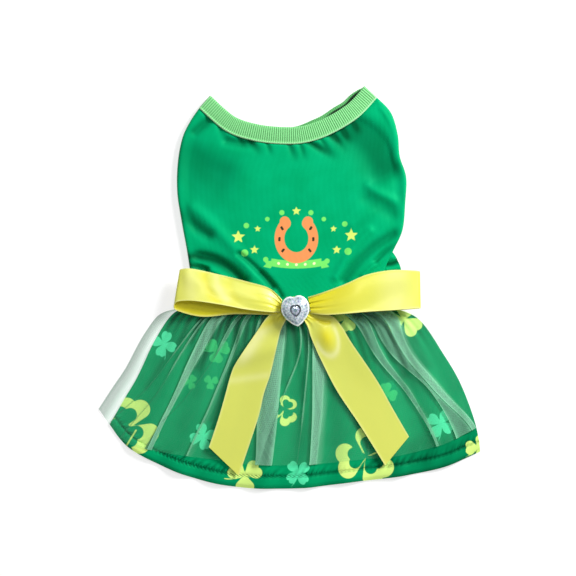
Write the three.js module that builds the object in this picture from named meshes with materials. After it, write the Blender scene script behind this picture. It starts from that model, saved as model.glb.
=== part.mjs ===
import * as THREE from "three";

// A small dog's dress, laid flat on its belly side: a knit bodice with a ribbed neck band, a printed
// skirt gathered to its waist, a net overskirt, and a satin bow held by a heart-shaped stone.
// Millimetres, +Z up. The neck points to +Y. The origin is on the surface that the dress lies on,
// under the middle of its outline.

// Thickness of each cloth, and the clearance that sewn pieces keep
const knitThick = 1.2;
const netThick = 1.0;
const ribbonThick = 1.0;
const bandThick = 1.8;
const seamGap = 0.3;

// Bodice
const bandWidth = 9.6;
const bodiceTop = 4.0;
const bodiceSwell = 0.9;
const swellReach = 26;
const turnedUnder = 4.0;
const bellyInset = turnedUnder + 0.5;
const bodiceRows = 25;
const tuckRow = 16;
const legHole = { fromMiddle: 34, y: 62, halfWidth: 14, halfLength: 19, lean: 0.22 };

// Neck band
const ribPitch = 1.45;
const ribDepth = 0.45;
const neckOpen = 0.9;
const chestRise = { most: 4.6, at: 0.74, spread: 0.15 };

// Skirt and net
const skirtWaist = 3.4;
const waistSlope = 0.35;
const netLift = 0.45;
const netPastEdge = 0.048;

// Bow and stone
const stone = { x: 5.0, y: -13.4, width: 17.6, height: 19.4, tilt: 0.14, girdle: 1.6, crown: 3.2 };
const knot = { x: 4.8, y: -12.0, width: 15, height: 14, bottom: 7.0, top: 12.0 };

// Outlines seen from above, as short lists of the points that their shape needs
const neckSeam = [
  { x: -54.6, y: 112.5 },
  { x: -38.1, y: 98.3 },
  { x: -21.4, y: 92.3 },
  { x: -3.7, y: 90.2 },
  { x: 11.5, y: 91.1 },
  { x: 27.0, y: 96.5 },
  { x: 43.3, y: 106.5 },
  { x: 55.2, y: 119.0 },
];
const bodiceLeft = [
  { x: -54.6, y: 112.5 },
  { x: -60.5, y: 103.8 },
  { x: -65.4, y: 93.3 },
  { x: -68.2, y: 77.8 },
  { x: -68.5, y: 59.8 },
  { x: -65.7, y: 41.2 },
  { x: -62.3, y: 22.6 },
  { x: -60.1, y: 6.5 },
  { x: -59.2, y: -10.8 },
];
const bodiceRight = [
  { x: 55.2, y: 119.0 },
  { x: 64.2, y: 109.4 },
  { x: 68.5, y: 95.8 },
  { x: 69.8, y: 82.2 },
  { x: 73.8, y: 69.1 },
  { x: 73.2, y: 53.0 },
  { x: 71.5, y: 36.3 },
  { x: 65.4, y: 22.8 },
  { x: 59.8, y: 9.0 },
  { x: 59.8, y: -10.8 },
];
const waist = [
  { x: -59.2, y: -10.8 },
  { x: -20.1, y: -13.3 },
  { x: 23.2, y: -13.3 },
  { x: 59.8, y: -10.8 },
];
const bellyTuck = [
  { x: 61.1, y: 27.0 },
  { x: 65.4, y: 22.6 },
  { x: 68.1, y: 18.4 },
  { x: 70.6, y: 11.8 },
  { x: 69.8, y: 4.0 },
  { x: 63.5, y: -7.8 },
];
const skirtLeft = [
  { x: -59.2, y: -10.8 },
  { x: -71.6, y: -15.8 },
  { x: -82.8, y: -32.5 },
  { x: -93.3, y: -54.6 },
  { x: -101.4, y: -68.5 },
  { x: -110.7, y: -84.6 },
];
const skirtRight = [
  { x: 59.8, y: -10.8 },
  { x: 80.9, y: -18.3 },
  { x: 97.0, y: -40.6 },
  { x: 107.9, y: -59.6 },
  { x: 116.9, y: -84.0 },
  { x: 120.0, y: -101.4 },
];
const skirtHem = [
  { x: -110.7, y: -84.6 },
  { x: -99.5, y: -98.3 },
  { x: -77.8, y: -110.4 },
  { x: -53.6, y: -119.2 },
  { x: -26.4, y: -123.9 },
  { x: 7.8, y: -124.2 },
  { x: 38.8, y: -120.6 },
  { x: 72.8, y: -116.4 },
  { x: 98.3, y: -110.7 },
  { x: 120.0, y: -101.4 },
];

// The bodice's largest folds: a line from one end to the other, bowed sideways, with the height that
// it adds at its middle, below nought for a trough
const bodiceFolds = [
  { fromX: 47, fromY: 108, toX: 68, toY: 62, bow: -2, wide: 6, high: -2.2 },
  { fromX: 59, fromY: 108, toX: 69, toY: 84, bow: -1.5, wide: 2.4, high: 1.2 },
  { fromX: 38, fromY: 92, toX: 68, toY: 52, bow: 2, wide: 9, high: 1.5 },
  { fromX: 38, fromY: 62, toX: 66, toY: 44, bow: 1, wide: 6, high: -1.1 },
  { fromX: 27, fromY: 92, toX: 36, toY: 82, bow: 0, wide: 4, high: -1.5 },
  { fromX: 40, fromY: 99, toX: 50, toY: 90, bow: 0, wide: 4, high: -1.2 },
  { fromX: 4, fromY: 88, toX: 7, toY: 80, bow: 0, wide: 3, high: -0.9 },
  { fromX: -20, fromY: 89, toX: -18, toY: 80, bow: 0, wide: 3.5, high: -1.1 },
  { fromX: -38, fromY: 95, toX: -27, toY: 86, bow: 0, wide: 4.5, high: -1.5 },
  { fromX: -52, fromY: 106, toX: -56, toY: 96, bow: 0, wide: 4, high: -1.2 },
  { fromX: -36, fromY: 84, toX: -60, toY: 70, bow: -3, wide: 10, high: -1.4 },
  { fromX: -62, fromY: 22, toX: -31, toY: 4, bow: 5, wide: 3.6, high: -2.2 },
  { fromX: -46, fromY: 27, toX: -24, toY: 6, bow: 1, wide: 4.5, high: 1.4 },
  { fromX: -30, fromY: 24, toX: -10, toY: 1, bow: 1, wide: 3.6, high: -1.8 },
  { fromX: 26, fromY: 2, toX: 62, toY: 29, bow: -2, wide: 4, high: -1.8 },
  { fromX: 34, fromY: 15, toX: 66, toY: 36, bow: -2, wide: 5, high: 1.1 },
  { fromX: 44, fromY: 1, toX: 60, toY: 19, bow: -1, wide: 3, high: -1.1 },
];

// The printed skirt's soft waves, each at a share of the way across, from the waist to the hem
const skirtWaves = [
  { atWaist: 0.1, atHem: 0.1, wide: 0.045, high: 2.2 },
  { atWaist: 0.22, atHem: 0.21, wide: 0.04, high: 2.6 },
  { atWaist: 0.34, atHem: 0.32, wide: 0.04, high: 2.3 },
  { atWaist: 0.45, atHem: 0.43, wide: 0.035, high: 2.6 },
  { atWaist: 0.56, atHem: 0.54, wide: 0.035, high: 2.2 },
  { atWaist: 0.66, atHem: 0.65, wide: 0.04, high: 2.5 },
  { atWaist: 0.78, atHem: 0.77, wide: 0.04, high: 2.6 },
  { atWaist: 0.9, atHem: 0.9, wide: 0.04, high: 2.2 },
];

// The net's pleats, placed in the same way, and how far down the skirt its hem hangs
const netPleats = [
  { atWaist: 0.1, atHem: 0.05, wide: 0.014, high: 1.5 },
  { atWaist: 0.135, atHem: 0.085, wide: 0.014, high: 1.6 },
  { atWaist: 0.185, atHem: 0.134, wide: 0.018, high: 2.0 },
  { atWaist: 0.25, atHem: 0.18, wide: 0.015, high: 1.5 },
  { atWaist: 0.31, atHem: 0.224, wide: 0.016, high: 1.8 },
  { atWaist: 0.36, atHem: 0.29, wide: 0.015, high: 1.3 },
  { atWaist: 0.44, atHem: 0.425, wide: 0.022, high: 1.8 },
  { atWaist: 0.52, atHem: 0.48, wide: 0.014, high: 1.4 },
  { atWaist: 0.585, atHem: 0.554, wide: 0.017, high: 1.8 },
  { atWaist: 0.66, atHem: 0.64, wide: 0.014, high: 1.2 },
  { atWaist: 0.73, atHem: 0.72, wide: 0.015, high: 1.4 },
  { atWaist: 0.79, atHem: 0.795, wide: 0.015, high: 1.7 },
  { atWaist: 0.84, atHem: 0.88, wide: 0.018, high: 1.9 },
  { atWaist: 0.91, atHem: 0.965, wide: 0.018, high: 1.8 },
];
const netHem = [
  { x: 0, y: 1.0 },
  { x: 0.066, y: 0.985 },
  { x: 0.132, y: 0.945 },
  { x: 0.224, y: 0.9 },
  { x: 0.3, y: 0.88 },
  { x: 0.5, y: 0.883 },
  { x: 0.78, y: 0.895 },
  { x: 0.94, y: 0.88 },
  { x: 1, y: 0.87 },
];

// The bow's loops, from the knot out along the front and back underneath: the ribbon's upper and
// lower edge at each place
const leftLoop = [
  { topX: -3.4, topY: -7.4, topZ: 9.0, lowX: -4.7, lowY: -14.8, lowZ: 9.4 },
  { topX: -10.8, topY: 0.0, topZ: 10.6, lowX: -12.1, lowY: -14.4, lowZ: 12.2 },
  { topX: -24.5, topY: 4.2, topZ: 11.3, lowX: -25.7, lowY: -12.8, lowZ: 14.3 },
  { topX: -41.9, topY: 8.6, topZ: 11.3, lowX: -41.2, lowY: -9.8, lowZ: 15.1 },
  { topX: -58.0, topY: 12.1, topZ: 10.7, lowX: -58.0, lowY: -7.5, lowZ: 14.5 },
  { topX: -64.8, topY: 12.2, topZ: 10.0, lowX: -67.9, lowY: -8.1, lowZ: 13.2 },
  { topX: -66.7, topY: 10.8, topZ: 9.0, lowX: -70.2, lowY: -11.2, lowZ: 10.8 },
  { topX: -64.2, topY: 7.8, topZ: 8.1, lowX: -67.6, lowY: -13.9, lowZ: 8.5 },
  { topX: -51.1, topY: 4.7, topZ: 7.9, lowX: -52.4, lowY: -17.4, lowZ: 7.9 },
  { topX: -29.4, topY: -0.3, topZ: 7.9, lowX: -31.9, lowY: -15.8, lowZ: 7.9 },
  { topX: -4.7, topY: -7.8, topZ: 8.2, lowX: -6.5, lowY: -16.4, lowZ: 8.2 },
];
const rightLoop = [
  { topX: 12.7, topY: -5.6, topZ: 9.0, lowX: 14.6, lowY: -15.5, lowZ: 9.4 },
  { topX: 23.2, topY: -1.9, topZ: 11.2, lowX: 23.9, lowY: -16.2, lowZ: 12.4 },
  { topX: 35.6, topY: 2.8, topZ: 12.7, lowX: 36.3, lowY: -15.4, lowZ: 14.5 },
  { topX: 48.7, topY: 8.5, topZ: 13.2, lowX: 49.3, lowY: -14.2, lowZ: 15.2 },
  { topX: 63.5, topY: 11.3, topZ: 13.0, lowX: 64.8, lowY: -13.2, lowZ: 14.8 },
  { topX: 77.2, topY: 11.2, topZ: 12.2, lowX: 77.8, lowY: -12.3, lowZ: 13.4 },
  { topX: 81.8, topY: 10.5, topZ: 10.2, lowX: 82.2, lowY: -12.3, lowZ: 10.8 },
  { topX: 77.8, topY: 9.3, topZ: 8.4, lowX: 78.4, lowY: -12.7, lowZ: 8.4 },
  { topX: 60.5, topY: 8.4, topZ: 7.9, lowX: 60.5, lowY: -13.9, lowZ: 7.9 },
  { topX: 35.6, topY: 1.6, topZ: 7.9, lowX: 35.6, lowY: -15.5, lowZ: 7.9 },
  { topX: 13.9, topY: -6.5, topZ: 8.2, lowX: 15.2, lowY: -15.8, lowZ: 8.2 },
];

// The bow's tails, from the knot to the slanting cut: the ribbon's two edges
const leftTail = [
  { topX: 0.3, topY: -21.4, lowX: -10.2, lowY: -17.7 },
  { topX: -2.2, topY: -27.6, lowX: -19.5, lowY: -25.7 },
  { topX: -7.1, topY: -41.9, lowX: -30.7, lowY: -43.1 },
  { topX: -11.5, topY: -61.1, lowX: -35.6, lowY: -58.0 },
  { topX: -18.9, topY: -84.0, lowX: -42.5, lowY: -79.0 },
  { topX: -30.4, topY: -116.6, lowX: -48.7, lowY: -98.3 },
];
const rightTail = [
  { topX: 27.0, topY: -16.4, lowX: 10.8, lowY: -19.5 },
  { topX: 34.4, topY: -23.9, lowX: 14.6, lowY: -30.7 },
  { topX: 43.7, topY: -38.1, lowX: 20.1, lowY: -43.7 },
  { topX: 54.9, topY: -56.1, lowX: 30.1, lowY: -62.9 },
  { topX: 65.4, topY: -74.7, lowX: 45.6, lowY: -85.9 },
  { topX: 75.3, topY: -91.8, lowX: 60.5, lowY: -109.7 },
];

const curveThrough = (rows) => new THREE.SplineCurve(rows.map(({ x, y }) => new THREE.Vector2(x, y)));
const mix = THREE.MathUtils.lerp;
const easeBetween = (value, low, high) => THREE.MathUtils.smoothstep(value, low, high);
const bell = (distance, wide) => Math.exp(-((distance / wide) ** 2));

// A patch of cloth between four edges. It gives the place at a share across and a share down.
function patchBetween({ top, bottom, left, right }) {
  const [northWest, northEast] = [top.getPointAt(0), top.getPointAt(1)];
  const [southWest, southEast] = [bottom.getPointAt(0), bottom.getPointAt(1)];
  return (across, down) => {
    const [north, south] = [top.getPointAt(across), bottom.getPointAt(across)];
    const [west, east] = [left.getPointAt(down), right.getPointAt(down)];
    const along = (key) =>
      mix(north[key], south[key], down) +
      mix(west[key], east[key], across) -
      mix(mix(northWest[key], northEast[key], across), mix(southWest[key], southEast[key], across), down);
    return new THREE.Vector2(along("x"), along("y"));
  };
}

// A closed solid through equal closed sections. A ring joins its last section to its first, and
// anything else is capped, where a section holds one face's points and then the other's, reversed.
function loft(sections, ring = false) {
  const around = sections[0].length;
  const at = (section, point) => (section % sections.length) * around + (point % around);
  const faces = [];
  const quad = (a, b, c, d) => faces.push(a, b, c, a, c, d);
  const spans = ring ? sections.length : sections.length - 1;
  for (let i = 0; i < spans; i += 1) {
    for (let j = 0; j < around; j += 1) {
      quad(at(i, j), at(i, j + 1), at(i + 1, j + 1), at(i + 1, j));
    }
  }
  if (!ring) {
    const last = sections.length - 1;
    for (let j = 0; j < around / 2 - 1; j += 1) {
      const back = around - 1 - j;
      quad(at(0, j), at(0, back), at(0, back - 1), at(0, j + 1));
      quad(at(last, j), at(last, j + 1), at(last, back - 1), at(last, back));
    }
  }
  return facingOut(sections.flat(), faces);
}

// A geometry from points and triangles, turned so that its faces point outwards
function facingOut(points, faces) {
  let volume = 0;
  for (let i = 0; i < faces.length; i += 3) {
    const [a, b, c] = [points[faces[i]], points[faces[i + 1]], points[faces[i + 2]]];
    volume += a.dot(b.clone().cross(c));
  }
  const geometry = new THREE.BufferGeometry().setFromPoints(points);
  geometry.setIndex(volume < 0 ? faces.reverse() : faces);
  return geometry;
}

// The direction that a grid of points faces at one of them, with rows that may close on themselves
function facing(grid, i, j, ring = false) {
  const rows = grid.length;
  const next = ring ? (i + 1) % rows : Math.min(i + 1, rows - 1);
  const before = ring ? (i + rows - 1) % rows : Math.max(i - 1, 0);
  const across = grid[i][Math.min(j + 1, grid[i].length - 1)].clone().sub(grid[i][Math.max(j - 1, 0)]);
  return across.cross(grid[next][j].clone().sub(grid[before][j])).normalize();
}

// A wall of cloth around a grid of points on its middle surface
function clothWall(grid, thick) {
  const sections = grid.map((row, i) => {
    const moved = (way) =>
      row.map((point, j) => point.clone().addScaledVector(facing(grid, i, j), (way * thick) / 2));
    return [...moved(1), ...moved(-1).reverse()];
  });
  return loft(sections);
}

// What the folds of a table add to the height at a place
function foldsAt(folds, place) {
  let height = 0;
  for (const fold of folds) {
    const [runX, runY] = [fold.toX - fold.fromX, fold.toY - fold.fromY];
    const length = Math.hypot(runX, runY);
    const [offX, offY] = [place.x - fold.fromX, place.y - fold.fromY];
    const along = (offX * runX + offY * runY) / length ** 2;
    const inside = THREE.MathUtils.clamp(along, 0, 1);
    const sideways = (offX * runY - offY * runX) / length - fold.bow * 4 * inside * (1 - inside);
    const past = (along - inside) * length;
    height += fold.high * bell(sideways, fold.wide) * bell(past, fold.wide);
  }
  return height;
}

// What the waves or pleats of a table add at a share across and a share down
function pleatsAt(pleats, across, down) {
  const fade = mix(0.45, 1, easeBetween(down, 0, 0.35));
  return pleats.reduce((height, pleat) => {
    const middle = mix(pleat.atWaist, pleat.atHem, down);
    return height + fade * pleat.high * bell(across - middle, pleat.wide);
  }, 0);
}

// Bodice back: the print side, whose two edges roll under to meet the belly panel on the underside
const bodicePlace = patchBetween({
  top: curveThrough(neckSeam),
  bottom: curveThrough(waist),
  left: curveThrough(bodiceLeft),
  right: curveThrough(bodiceRight),
});

const rowWidth = (down) => bodicePlace(0, down).distanceTo(bodicePlace(1, down));

// Height of the bodice's upper layer, away from its rolled edges
function bodiceHeight(across, down) {
  const fromEdge = Math.min(across, 1 - across) * rowWidth(down);
  const inland = easeBetween(fromEdge, 1, 9);
  const swell = bodiceSwell * easeBetween(fromEdge, 0, swellReach) * (1 - 0.6 * easeBetween(down, 0.8, 1));
  return bodiceTop + inland * (swell + foldsAt(bodiceFolds, bodicePlace(across, down)));
}

// Height that the turned-under edge lies at: the floor, or on the tuck of the belly panel
function underHeight(isRight, down) {
  const onTuck = isRight ? easeBetween(down, 0.62, 0.69) : 0;
  return mix(knitThick / 2, knitThick * 1.5 + seamGap, onTuck);
}

function rolledEdge(isRight, down) {
  const low = underHeight(isRight, down);
  const radius = (bodiceTop - low) / 2;
  const place = (inwards, height) => {
    const share = inwards / rowWidth(down);
    const { x, y } = bodicePlace(isRight ? 1 - share : share, down);
    return new THREE.Vector3(x, y, height);
  };
  const turn = [-90, -45, 0, 45, 90].map((degrees) => {
    const angle = THREE.MathUtils.degToRad(degrees);
    return place(radius * (1 - Math.cos(angle)), low + radius * (1 + Math.sin(angle)));
  });
  return [place(turnedUnder, low), ...turn];
}

function bodiceBack() {
  const columns = 26;
  const grid = [];
  for (let i = 0; i < bodiceRows; i += 1) {
    const down = i / (bodiceRows - 1);
    const edgeShare = (bodiceTop / 2 + 0.9) / rowWidth(down);
    const middle = [];
    for (let j = 0; j < columns; j += 1) {
      const across = mix(edgeShare, 1 - edgeShare, j / (columns - 1));
      const { x, y } = bodicePlace(across, down);
      middle.push(new THREE.Vector3(x, y, bodiceHeight(across, down)));
    }
    grid.push([...rolledEdge(false, down), ...middle, ...rolledEdge(true, down).reverse()]);
  }
  return clothWall(grid, knitThick);
}

// Neck band: one ribbed strip around the neck, laid flat, so that it folds over at both shoulders
const neckCurve = curveThrough(neckSeam);

function neckPlace(across, isChest, outwards) {
  const tangent = neckCurve.getTangentAt(across);
  const rise = isChest ? chestRise.most * bell(across - chestRise.at, chestRise.spread) : 0;
  const seam = neckCurve.getPointAt(across);
  return new THREE.Vector2(-tangent.y, tangent.x).multiplyScalar(rise + outwards).add(seam);
}

function neckBand() {
  const length = neckCurve.getLength();
  const ribs = Math.round(length / ribPitch);
  const grid = [];
  for (const isChest of [false, true]) {
    for (let i = 0; i < 2 * ribs; i += 1) {
      const across = isChest ? 1 - i / (2 * ribs) : i / (2 * ribs);
      const fromFold = Math.min(across, 1 - across) * length;
      const edges = [seamGap, seamGap + bandWidth].map((outwards) => {
        const opened = outwards > seamGap ? neckOpen * Math.sin(Math.PI * across) : 0;
        const low = bandThick / 2;
        const radius = (bodiceTop - low) / 2;
        const round = Math.sqrt(radius ** 2 - Math.max(radius - fromFold, 0) ** 2);
        const front = low + radius + round + (bodiceHeight(across, 0) - bodiceTop) + opened;
        const { x, y } = neckPlace(across, isChest, outwards);
        return new THREE.Vector3(x, y, isChest ? low + radius - round : front);
      });
      grid.push(edges);
    }
  }
  const sections = grid.map((row, i) => {
    const groove = i % 2 ? ribDepth : 0;
    const outer = row.map((point, j) =>
      point.clone().addScaledVector(facing(grid, i, j, true), -(bandThick / 2 - groove)),
    );
    const inner = row.map((point, j) =>
      point.clone().addScaledVector(facing(grid, i, j, true), bandThick / 2),
    );
    return [...outer, ...inner.reverse()];
  });
  return loft(sections, true);
}

// Belly panel: the underside of the bodice, flat on the surface, with the two leg holes and a tuck
// that shows past the bodice at the right of the waist
function bellyPanel() {
  const outline = [];
  const add = ({ x, y }) => outline.push(new THREE.Vector2(x, y));
  const neckSteps = 18;
  const inset = (down) => bellyInset / rowWidth(down);
  for (let i = 0; i <= neckSteps; i += 1) {
    add(neckPlace(mix(inset(0), 1 - inset(0), i / neckSteps), true, 0));
  }
  for (let i = 1; i <= tuckRow; i += 1) {
    const down = i / (bodiceRows - 1);
    add(bodicePlace(1 - inset(down), down));
  }
  bellyTuck.forEach(add);
  for (let i = bodiceRows - 2; i > 0; i -= 1) {
    const down = i / (bodiceRows - 1);
    add(bodicePlace(inset(down), down));
  }
  const shape = new THREE.Shape(outline);
  for (const side of [-1, 1]) {
    const hole = new THREE.Path();
    const middle = 3 + side * legHole.fromMiddle;
    const turn = -side * legHole.lean;
    hole.absellipse(middle, legHole.y, legHole.halfWidth, legHole.halfLength, 0, 2 * Math.PI, false, turn);
    shape.holes.push(hole);
  }
  return new THREE.ExtrudeGeometry(shape, { depth: knitThick, bevelEnabled: false, curveSegments: 24 });
}

// Skirt: one printed layer sewn to the waist, which fans out and comes down to the surface
const skirtPatch = patchBetween({
  top: curveThrough(waist),
  bottom: curveThrough(skirtHem),
  left: curveThrough(skirtLeft),
  right: curveThrough(skirtRight),
});

// Place on the skirt, carried straight on past its left edge for the net
function skirtPlace(across, down) {
  if (across >= 0) {
    const { x, y } = skirtPatch(across, down);
    return new THREE.Vector2(x, y - seamGap * (1 - down));
  }
  const step = 0.04;
  const edge = skirtPlace(0, down);
  return edge.clone().addScaledVector(edge.clone().sub(skirtPlace(step, down)), -across / step);
}

function skirtHeight(across, down) {
  const fromSide = easeBetween(Math.min(across, 1 - across), 0, 0.08);
  const held = mix(1, fromSide, easeBetween(down, 0, 0.25));
  const slope = (skirtWaist - knitThick / 2) * (1 - easeBetween(down, 0, waistSlope));
  return knitThick / 2 + slope * held + pleatsAt(skirtWaves, across, down) * fromSide;
}

function skirt() {
  const [rows, columns] = [9, 66];
  const grid = [];
  for (let i = 0; i < rows; i += 1) {
    const row = [];
    for (let j = 0; j < columns; j += 1) {
      const [across, down] = [j / (columns - 1), i / (rows - 1)];
      const { x, y } = skirtPlace(across, down);
      row.push(new THREE.Vector3(x, y, skirtHeight(across, down)));
    }
    grid.push(row);
  }
  return clothWall(grid, knitThick);
}

// Net overskirt: made from the skirt's own points, moved up, with its sharper pleats
function netHemAt(across) {
  const inside = THREE.MathUtils.clamp(across, 0, 1);
  const at = netHem.findIndex((row) => row.x >= inside);
  const [before, after] = [netHem[Math.max(at - 1, 0)], netHem[Math.max(at, 1)]];
  const share = easeBetween(inside, before.x, after.x);
  return mix(before.y, after.y, share);
}

function netGrid() {
  const [rows, columns] = [9, 88];
  const grid = [];
  for (let i = 0; i < rows; i += 1) {
    const row = [];
    for (let j = 0; j < columns; j += 1) {
      const overhang = netPastEdge * easeBetween(i / (rows - 1), 0, 0.2);
      const across = mix(-overhang, 1, j / (columns - 1));
      const down = (i / (rows - 1)) * netHemAt(across);
      const { x, y } = skirtPlace(across, down);
      const past = easeBetween(-across, netPastEdge * 0.12, netPastEdge * 0.7);
      const onSkirt = skirtHeight(Math.max(across, 0), down) + (knitThick + netThick) / 2 + netLift;
      const ruffle = pleatsAt(netPleats, across, down);
      row.push(new THREE.Vector3(x, y, mix(onSkirt + ruffle, netThick / 2, past)));
    }
    grid.push(row);
  }
  return grid;
}

const netPoints = netGrid();

// How high something has to be to lie on the net at a place
function aboveNet(x, y, reach) {
  let height = 0;
  for (const point of netPoints.flat()) {
    if (Math.hypot(point.x - x, point.y - y) < reach) height = Math.max(height, point.z);
  }
  return height + (netThick + ribbonThick) / 2 + seamGap;
}

// Bow: a ribbon loop each side, two tails, and the knot that gathers them
function ribbonRows(table, steps) {
  const column = (key) => new THREE.SplineCurve(table.map((row, i) => new THREE.Vector2(i, row[key])));
  const curves = Object.fromEntries(Object.keys(table[0]).map((key) => [key, column(key)]));
  const rows = [];
  for (let i = 0; i < steps; i += 1) {
    const at = (key) => curves[key].getPoint(i / (steps - 1)).y;
    rows.push(Object.fromEntries(Object.keys(curves).map((key) => [key, at(key)])));
  }
  return rows;
}

function bowLoop(table) {
  const [steps, lanes] = [29, 6];
  const grid = ribbonRows(table, steps).map(({ topX, topY, topZ, lowX, lowY, lowZ }, i) => {
    const toKnot = Math.abs((2 * i) / (steps - 1) - 1) ** 4;
    const [top, low] = [new THREE.Vector3(topX, topY, topZ), new THREE.Vector3(lowX, lowY, lowZ)];
    const row = [];
    for (let j = 0; j < lanes; j += 1) {
      const share = j / (lanes - 1);
      const point = top.clone().lerp(low, share);
      point.z += 0.5 * toKnot * Math.cos(3 * Math.PI * share);
      row.push(point);
    }
    return row;
  });
  return clothWall(grid, ribbonThick);
}

function bowTail(table) {
  const [steps, lanes] = [15, 6];
  const knotHeight = 8.6;
  const grid = ribbonRows(table, steps).map(({ topX, topY, lowX, lowY }, i) => {
    const down = i / (steps - 1);
    const atKnot = 1 - easeBetween(down, 0, 0.3);
    const row = [];
    for (let j = 0; j < lanes; j += 1) {
      const share = j / (lanes - 1);
      const [x, y] = [mix(topX, lowX, share), mix(topY, lowY, share)];
      const crease = 0.7 * atKnot * Math.cos(3 * Math.PI * share);
      row.push(new THREE.Vector3(x, y, mix(aboveNet(x, y, 14), knotHeight, atKnot) + crease));
    }
    return row;
  });
  return clothWall(grid, ribbonThick);
}

// A heart outline around its own middle, as wide and high as asked
function heartOutline(width, height, points) {
  const outline = [];
  for (let i = 0; i < points; i += 1) {
    const angle = (2 * Math.PI * i) / points;
    const lobes = 13 * Math.cos(angle) - 5 * Math.cos(2 * angle) - 2 * Math.cos(3 * angle);
    const y = lobes - Math.cos(4 * angle) + 2.5;
    outline.push(new THREE.Vector2((width / 32) * 16 * Math.sin(angle) ** 3, (height / 29) * y));
  }
  return outline;
}

function heartStone() {
  const points = 32;
  const base = knot.top + seamGap;
  const layers = [
    { size: 0.9, z: 0 },
    { size: 1, z: stone.girdle * 0.5 },
    { size: 1, z: stone.girdle },
    { size: 0.78, z: stone.girdle + stone.crown * 0.62 },
    { size: 0.46, z: stone.girdle + stone.crown },
  ];
  const rings = layers.map(({ size, z }) =>
    heartOutline(stone.width * size, stone.height * size, points).map(
      ({ x, y }) => new THREE.Vector3(x, y, base + z),
    ),
  );
  const middle = (ring) => new THREE.Vector3(0, stone.height * 0.02, ring[0].z);
  const all = [...rings.flat(), middle(rings[0]), middle(rings.at(-1))];
  const faces = [];
  const bottom = rings.length * points;
  for (let j = 0; j < points; j += 1) {
    const next = (j + 1) % points;
    faces.push(bottom, next, j);
    faces.push(bottom + 1, bottom - points + j, bottom - points + next);
    for (let i = 0; i + 1 < rings.length; i += 1) {
      const [low, high] = [i * points, (i + 1) * points];
      faces.push(low + j, low + next, high + next, low + j, high + next, high + j);
    }
  }
  const turn = new THREE.Matrix4().makeRotationZ(stone.tilt).setPosition(stone.x, stone.y, 0);
  return facingOut(all, faces).applyMatrix4(turn);
}

// Knot: the gathered middle of the bow, under the stone
function bowKnot() {
  const [turns, levels] = [20, 5];
  const sections = [];
  for (let i = 0; i < turns; i += 1) {
    const angle = (2 * Math.PI * i) / turns;
    const section = [];
    for (let j = 0; j < levels; j += 1) {
      const rise = j / (levels - 1);
      const spread = 0.5 * (0.82 + 0.18 * Math.sin(Math.PI * rise));
      const [x, y] = [knot.width * spread * Math.cos(angle), knot.height * spread * Math.sin(angle)];
      section.push(new THREE.Vector3(knot.x + x, knot.y + y, mix(knot.bottom, knot.top, rise)));
    }
    sections.push(section);
  }
  const points = sections.flat();
  const [floor, roof] = [points.length, points.length + 1];
  points.push(new THREE.Vector3(knot.x, knot.y, knot.bottom), new THREE.Vector3(knot.x, knot.y, knot.top));
  const faces = [];
  for (let i = 0; i < turns; i += 1) {
    const [here, next] = [i * levels, ((i + 1) % turns) * levels];
    for (let j = 0; j + 1 < levels; j += 1) {
      faces.push(here + j, next + j, next + j + 1, here + j, next + j + 1, here + j + 1);
    }
    faces.push(floor, next, here, roof, here + levels - 1, next + levels - 1);
  }
  return facingOut(points, faces);
}

const cloth = (color, roughness) => new THREE.MeshStandardMaterial({ color, roughness, metalness: 0 });
const materials = {
  knit: cloth("#07a868", 0.6),
  rib: cloth("#84cf87", 0.85),
  print: cloth("#0ba266", 0.65),
  net: cloth("#7fc7a1", 0.8),
  satin: cloth("#e8ea6e", 0.32),
  stone: new THREE.MeshStandardMaterial({ color: "#dfe8ee", roughness: 0.08, metalness: 0.2 }),
};

const dress = new THREE.Group();
function addPiece(name, geometry, material) {
  const mesh = new THREE.Mesh(geometry, material);
  mesh.name = name;
  dress.add(mesh);
}

addPiece("bodice_back", bodiceBack(), materials.knit);
addPiece("bodice_belly", bellyPanel(), materials.knit);
addPiece("neck_band", neckBand(), materials.rib);
addPiece("skirt_print", skirt(), materials.print);
addPiece("skirt_net", clothWall(netPoints, netThick), materials.net);
addPiece("bow_loop_left", bowLoop(leftLoop), materials.satin);
addPiece("bow_loop_right", bowLoop(rightLoop), materials.satin);
addPiece("bow_tail_left", bowTail(leftTail), materials.satin);
addPiece("bow_tail_right", bowTail(rightTail), materials.satin);
addPiece("bow_knot", bowKnot(), materials.satin);
addPiece("heart_stone", heartStone(), materials.stone);

// The origin goes under the middle of the outline
const middle = new THREE.Box3().setFromObject(dress).getCenter(new THREE.Vector3());
dress.children.forEach((mesh) => mesh.geometry.translate(-middle.x, -middle.y, 0));

export default dress;
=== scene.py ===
"""A small dog's dress, laid flat on a pale surface and seen from straight above."""

import math

import bpy
import numpy as np
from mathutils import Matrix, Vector
from mathutils.geometry import delaunay_2d_cdt


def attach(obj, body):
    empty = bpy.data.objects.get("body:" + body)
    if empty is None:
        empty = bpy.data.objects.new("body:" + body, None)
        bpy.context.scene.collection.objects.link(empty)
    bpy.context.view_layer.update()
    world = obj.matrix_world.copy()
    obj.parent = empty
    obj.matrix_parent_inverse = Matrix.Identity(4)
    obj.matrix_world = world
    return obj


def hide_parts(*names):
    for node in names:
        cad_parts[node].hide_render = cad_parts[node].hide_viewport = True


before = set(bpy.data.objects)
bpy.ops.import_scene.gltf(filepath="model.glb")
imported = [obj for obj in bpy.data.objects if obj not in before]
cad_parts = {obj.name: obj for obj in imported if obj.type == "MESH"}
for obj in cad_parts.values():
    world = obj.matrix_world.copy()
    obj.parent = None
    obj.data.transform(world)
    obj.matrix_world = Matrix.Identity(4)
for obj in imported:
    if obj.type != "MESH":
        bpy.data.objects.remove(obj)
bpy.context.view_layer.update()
scene = bpy.context.scene


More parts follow.
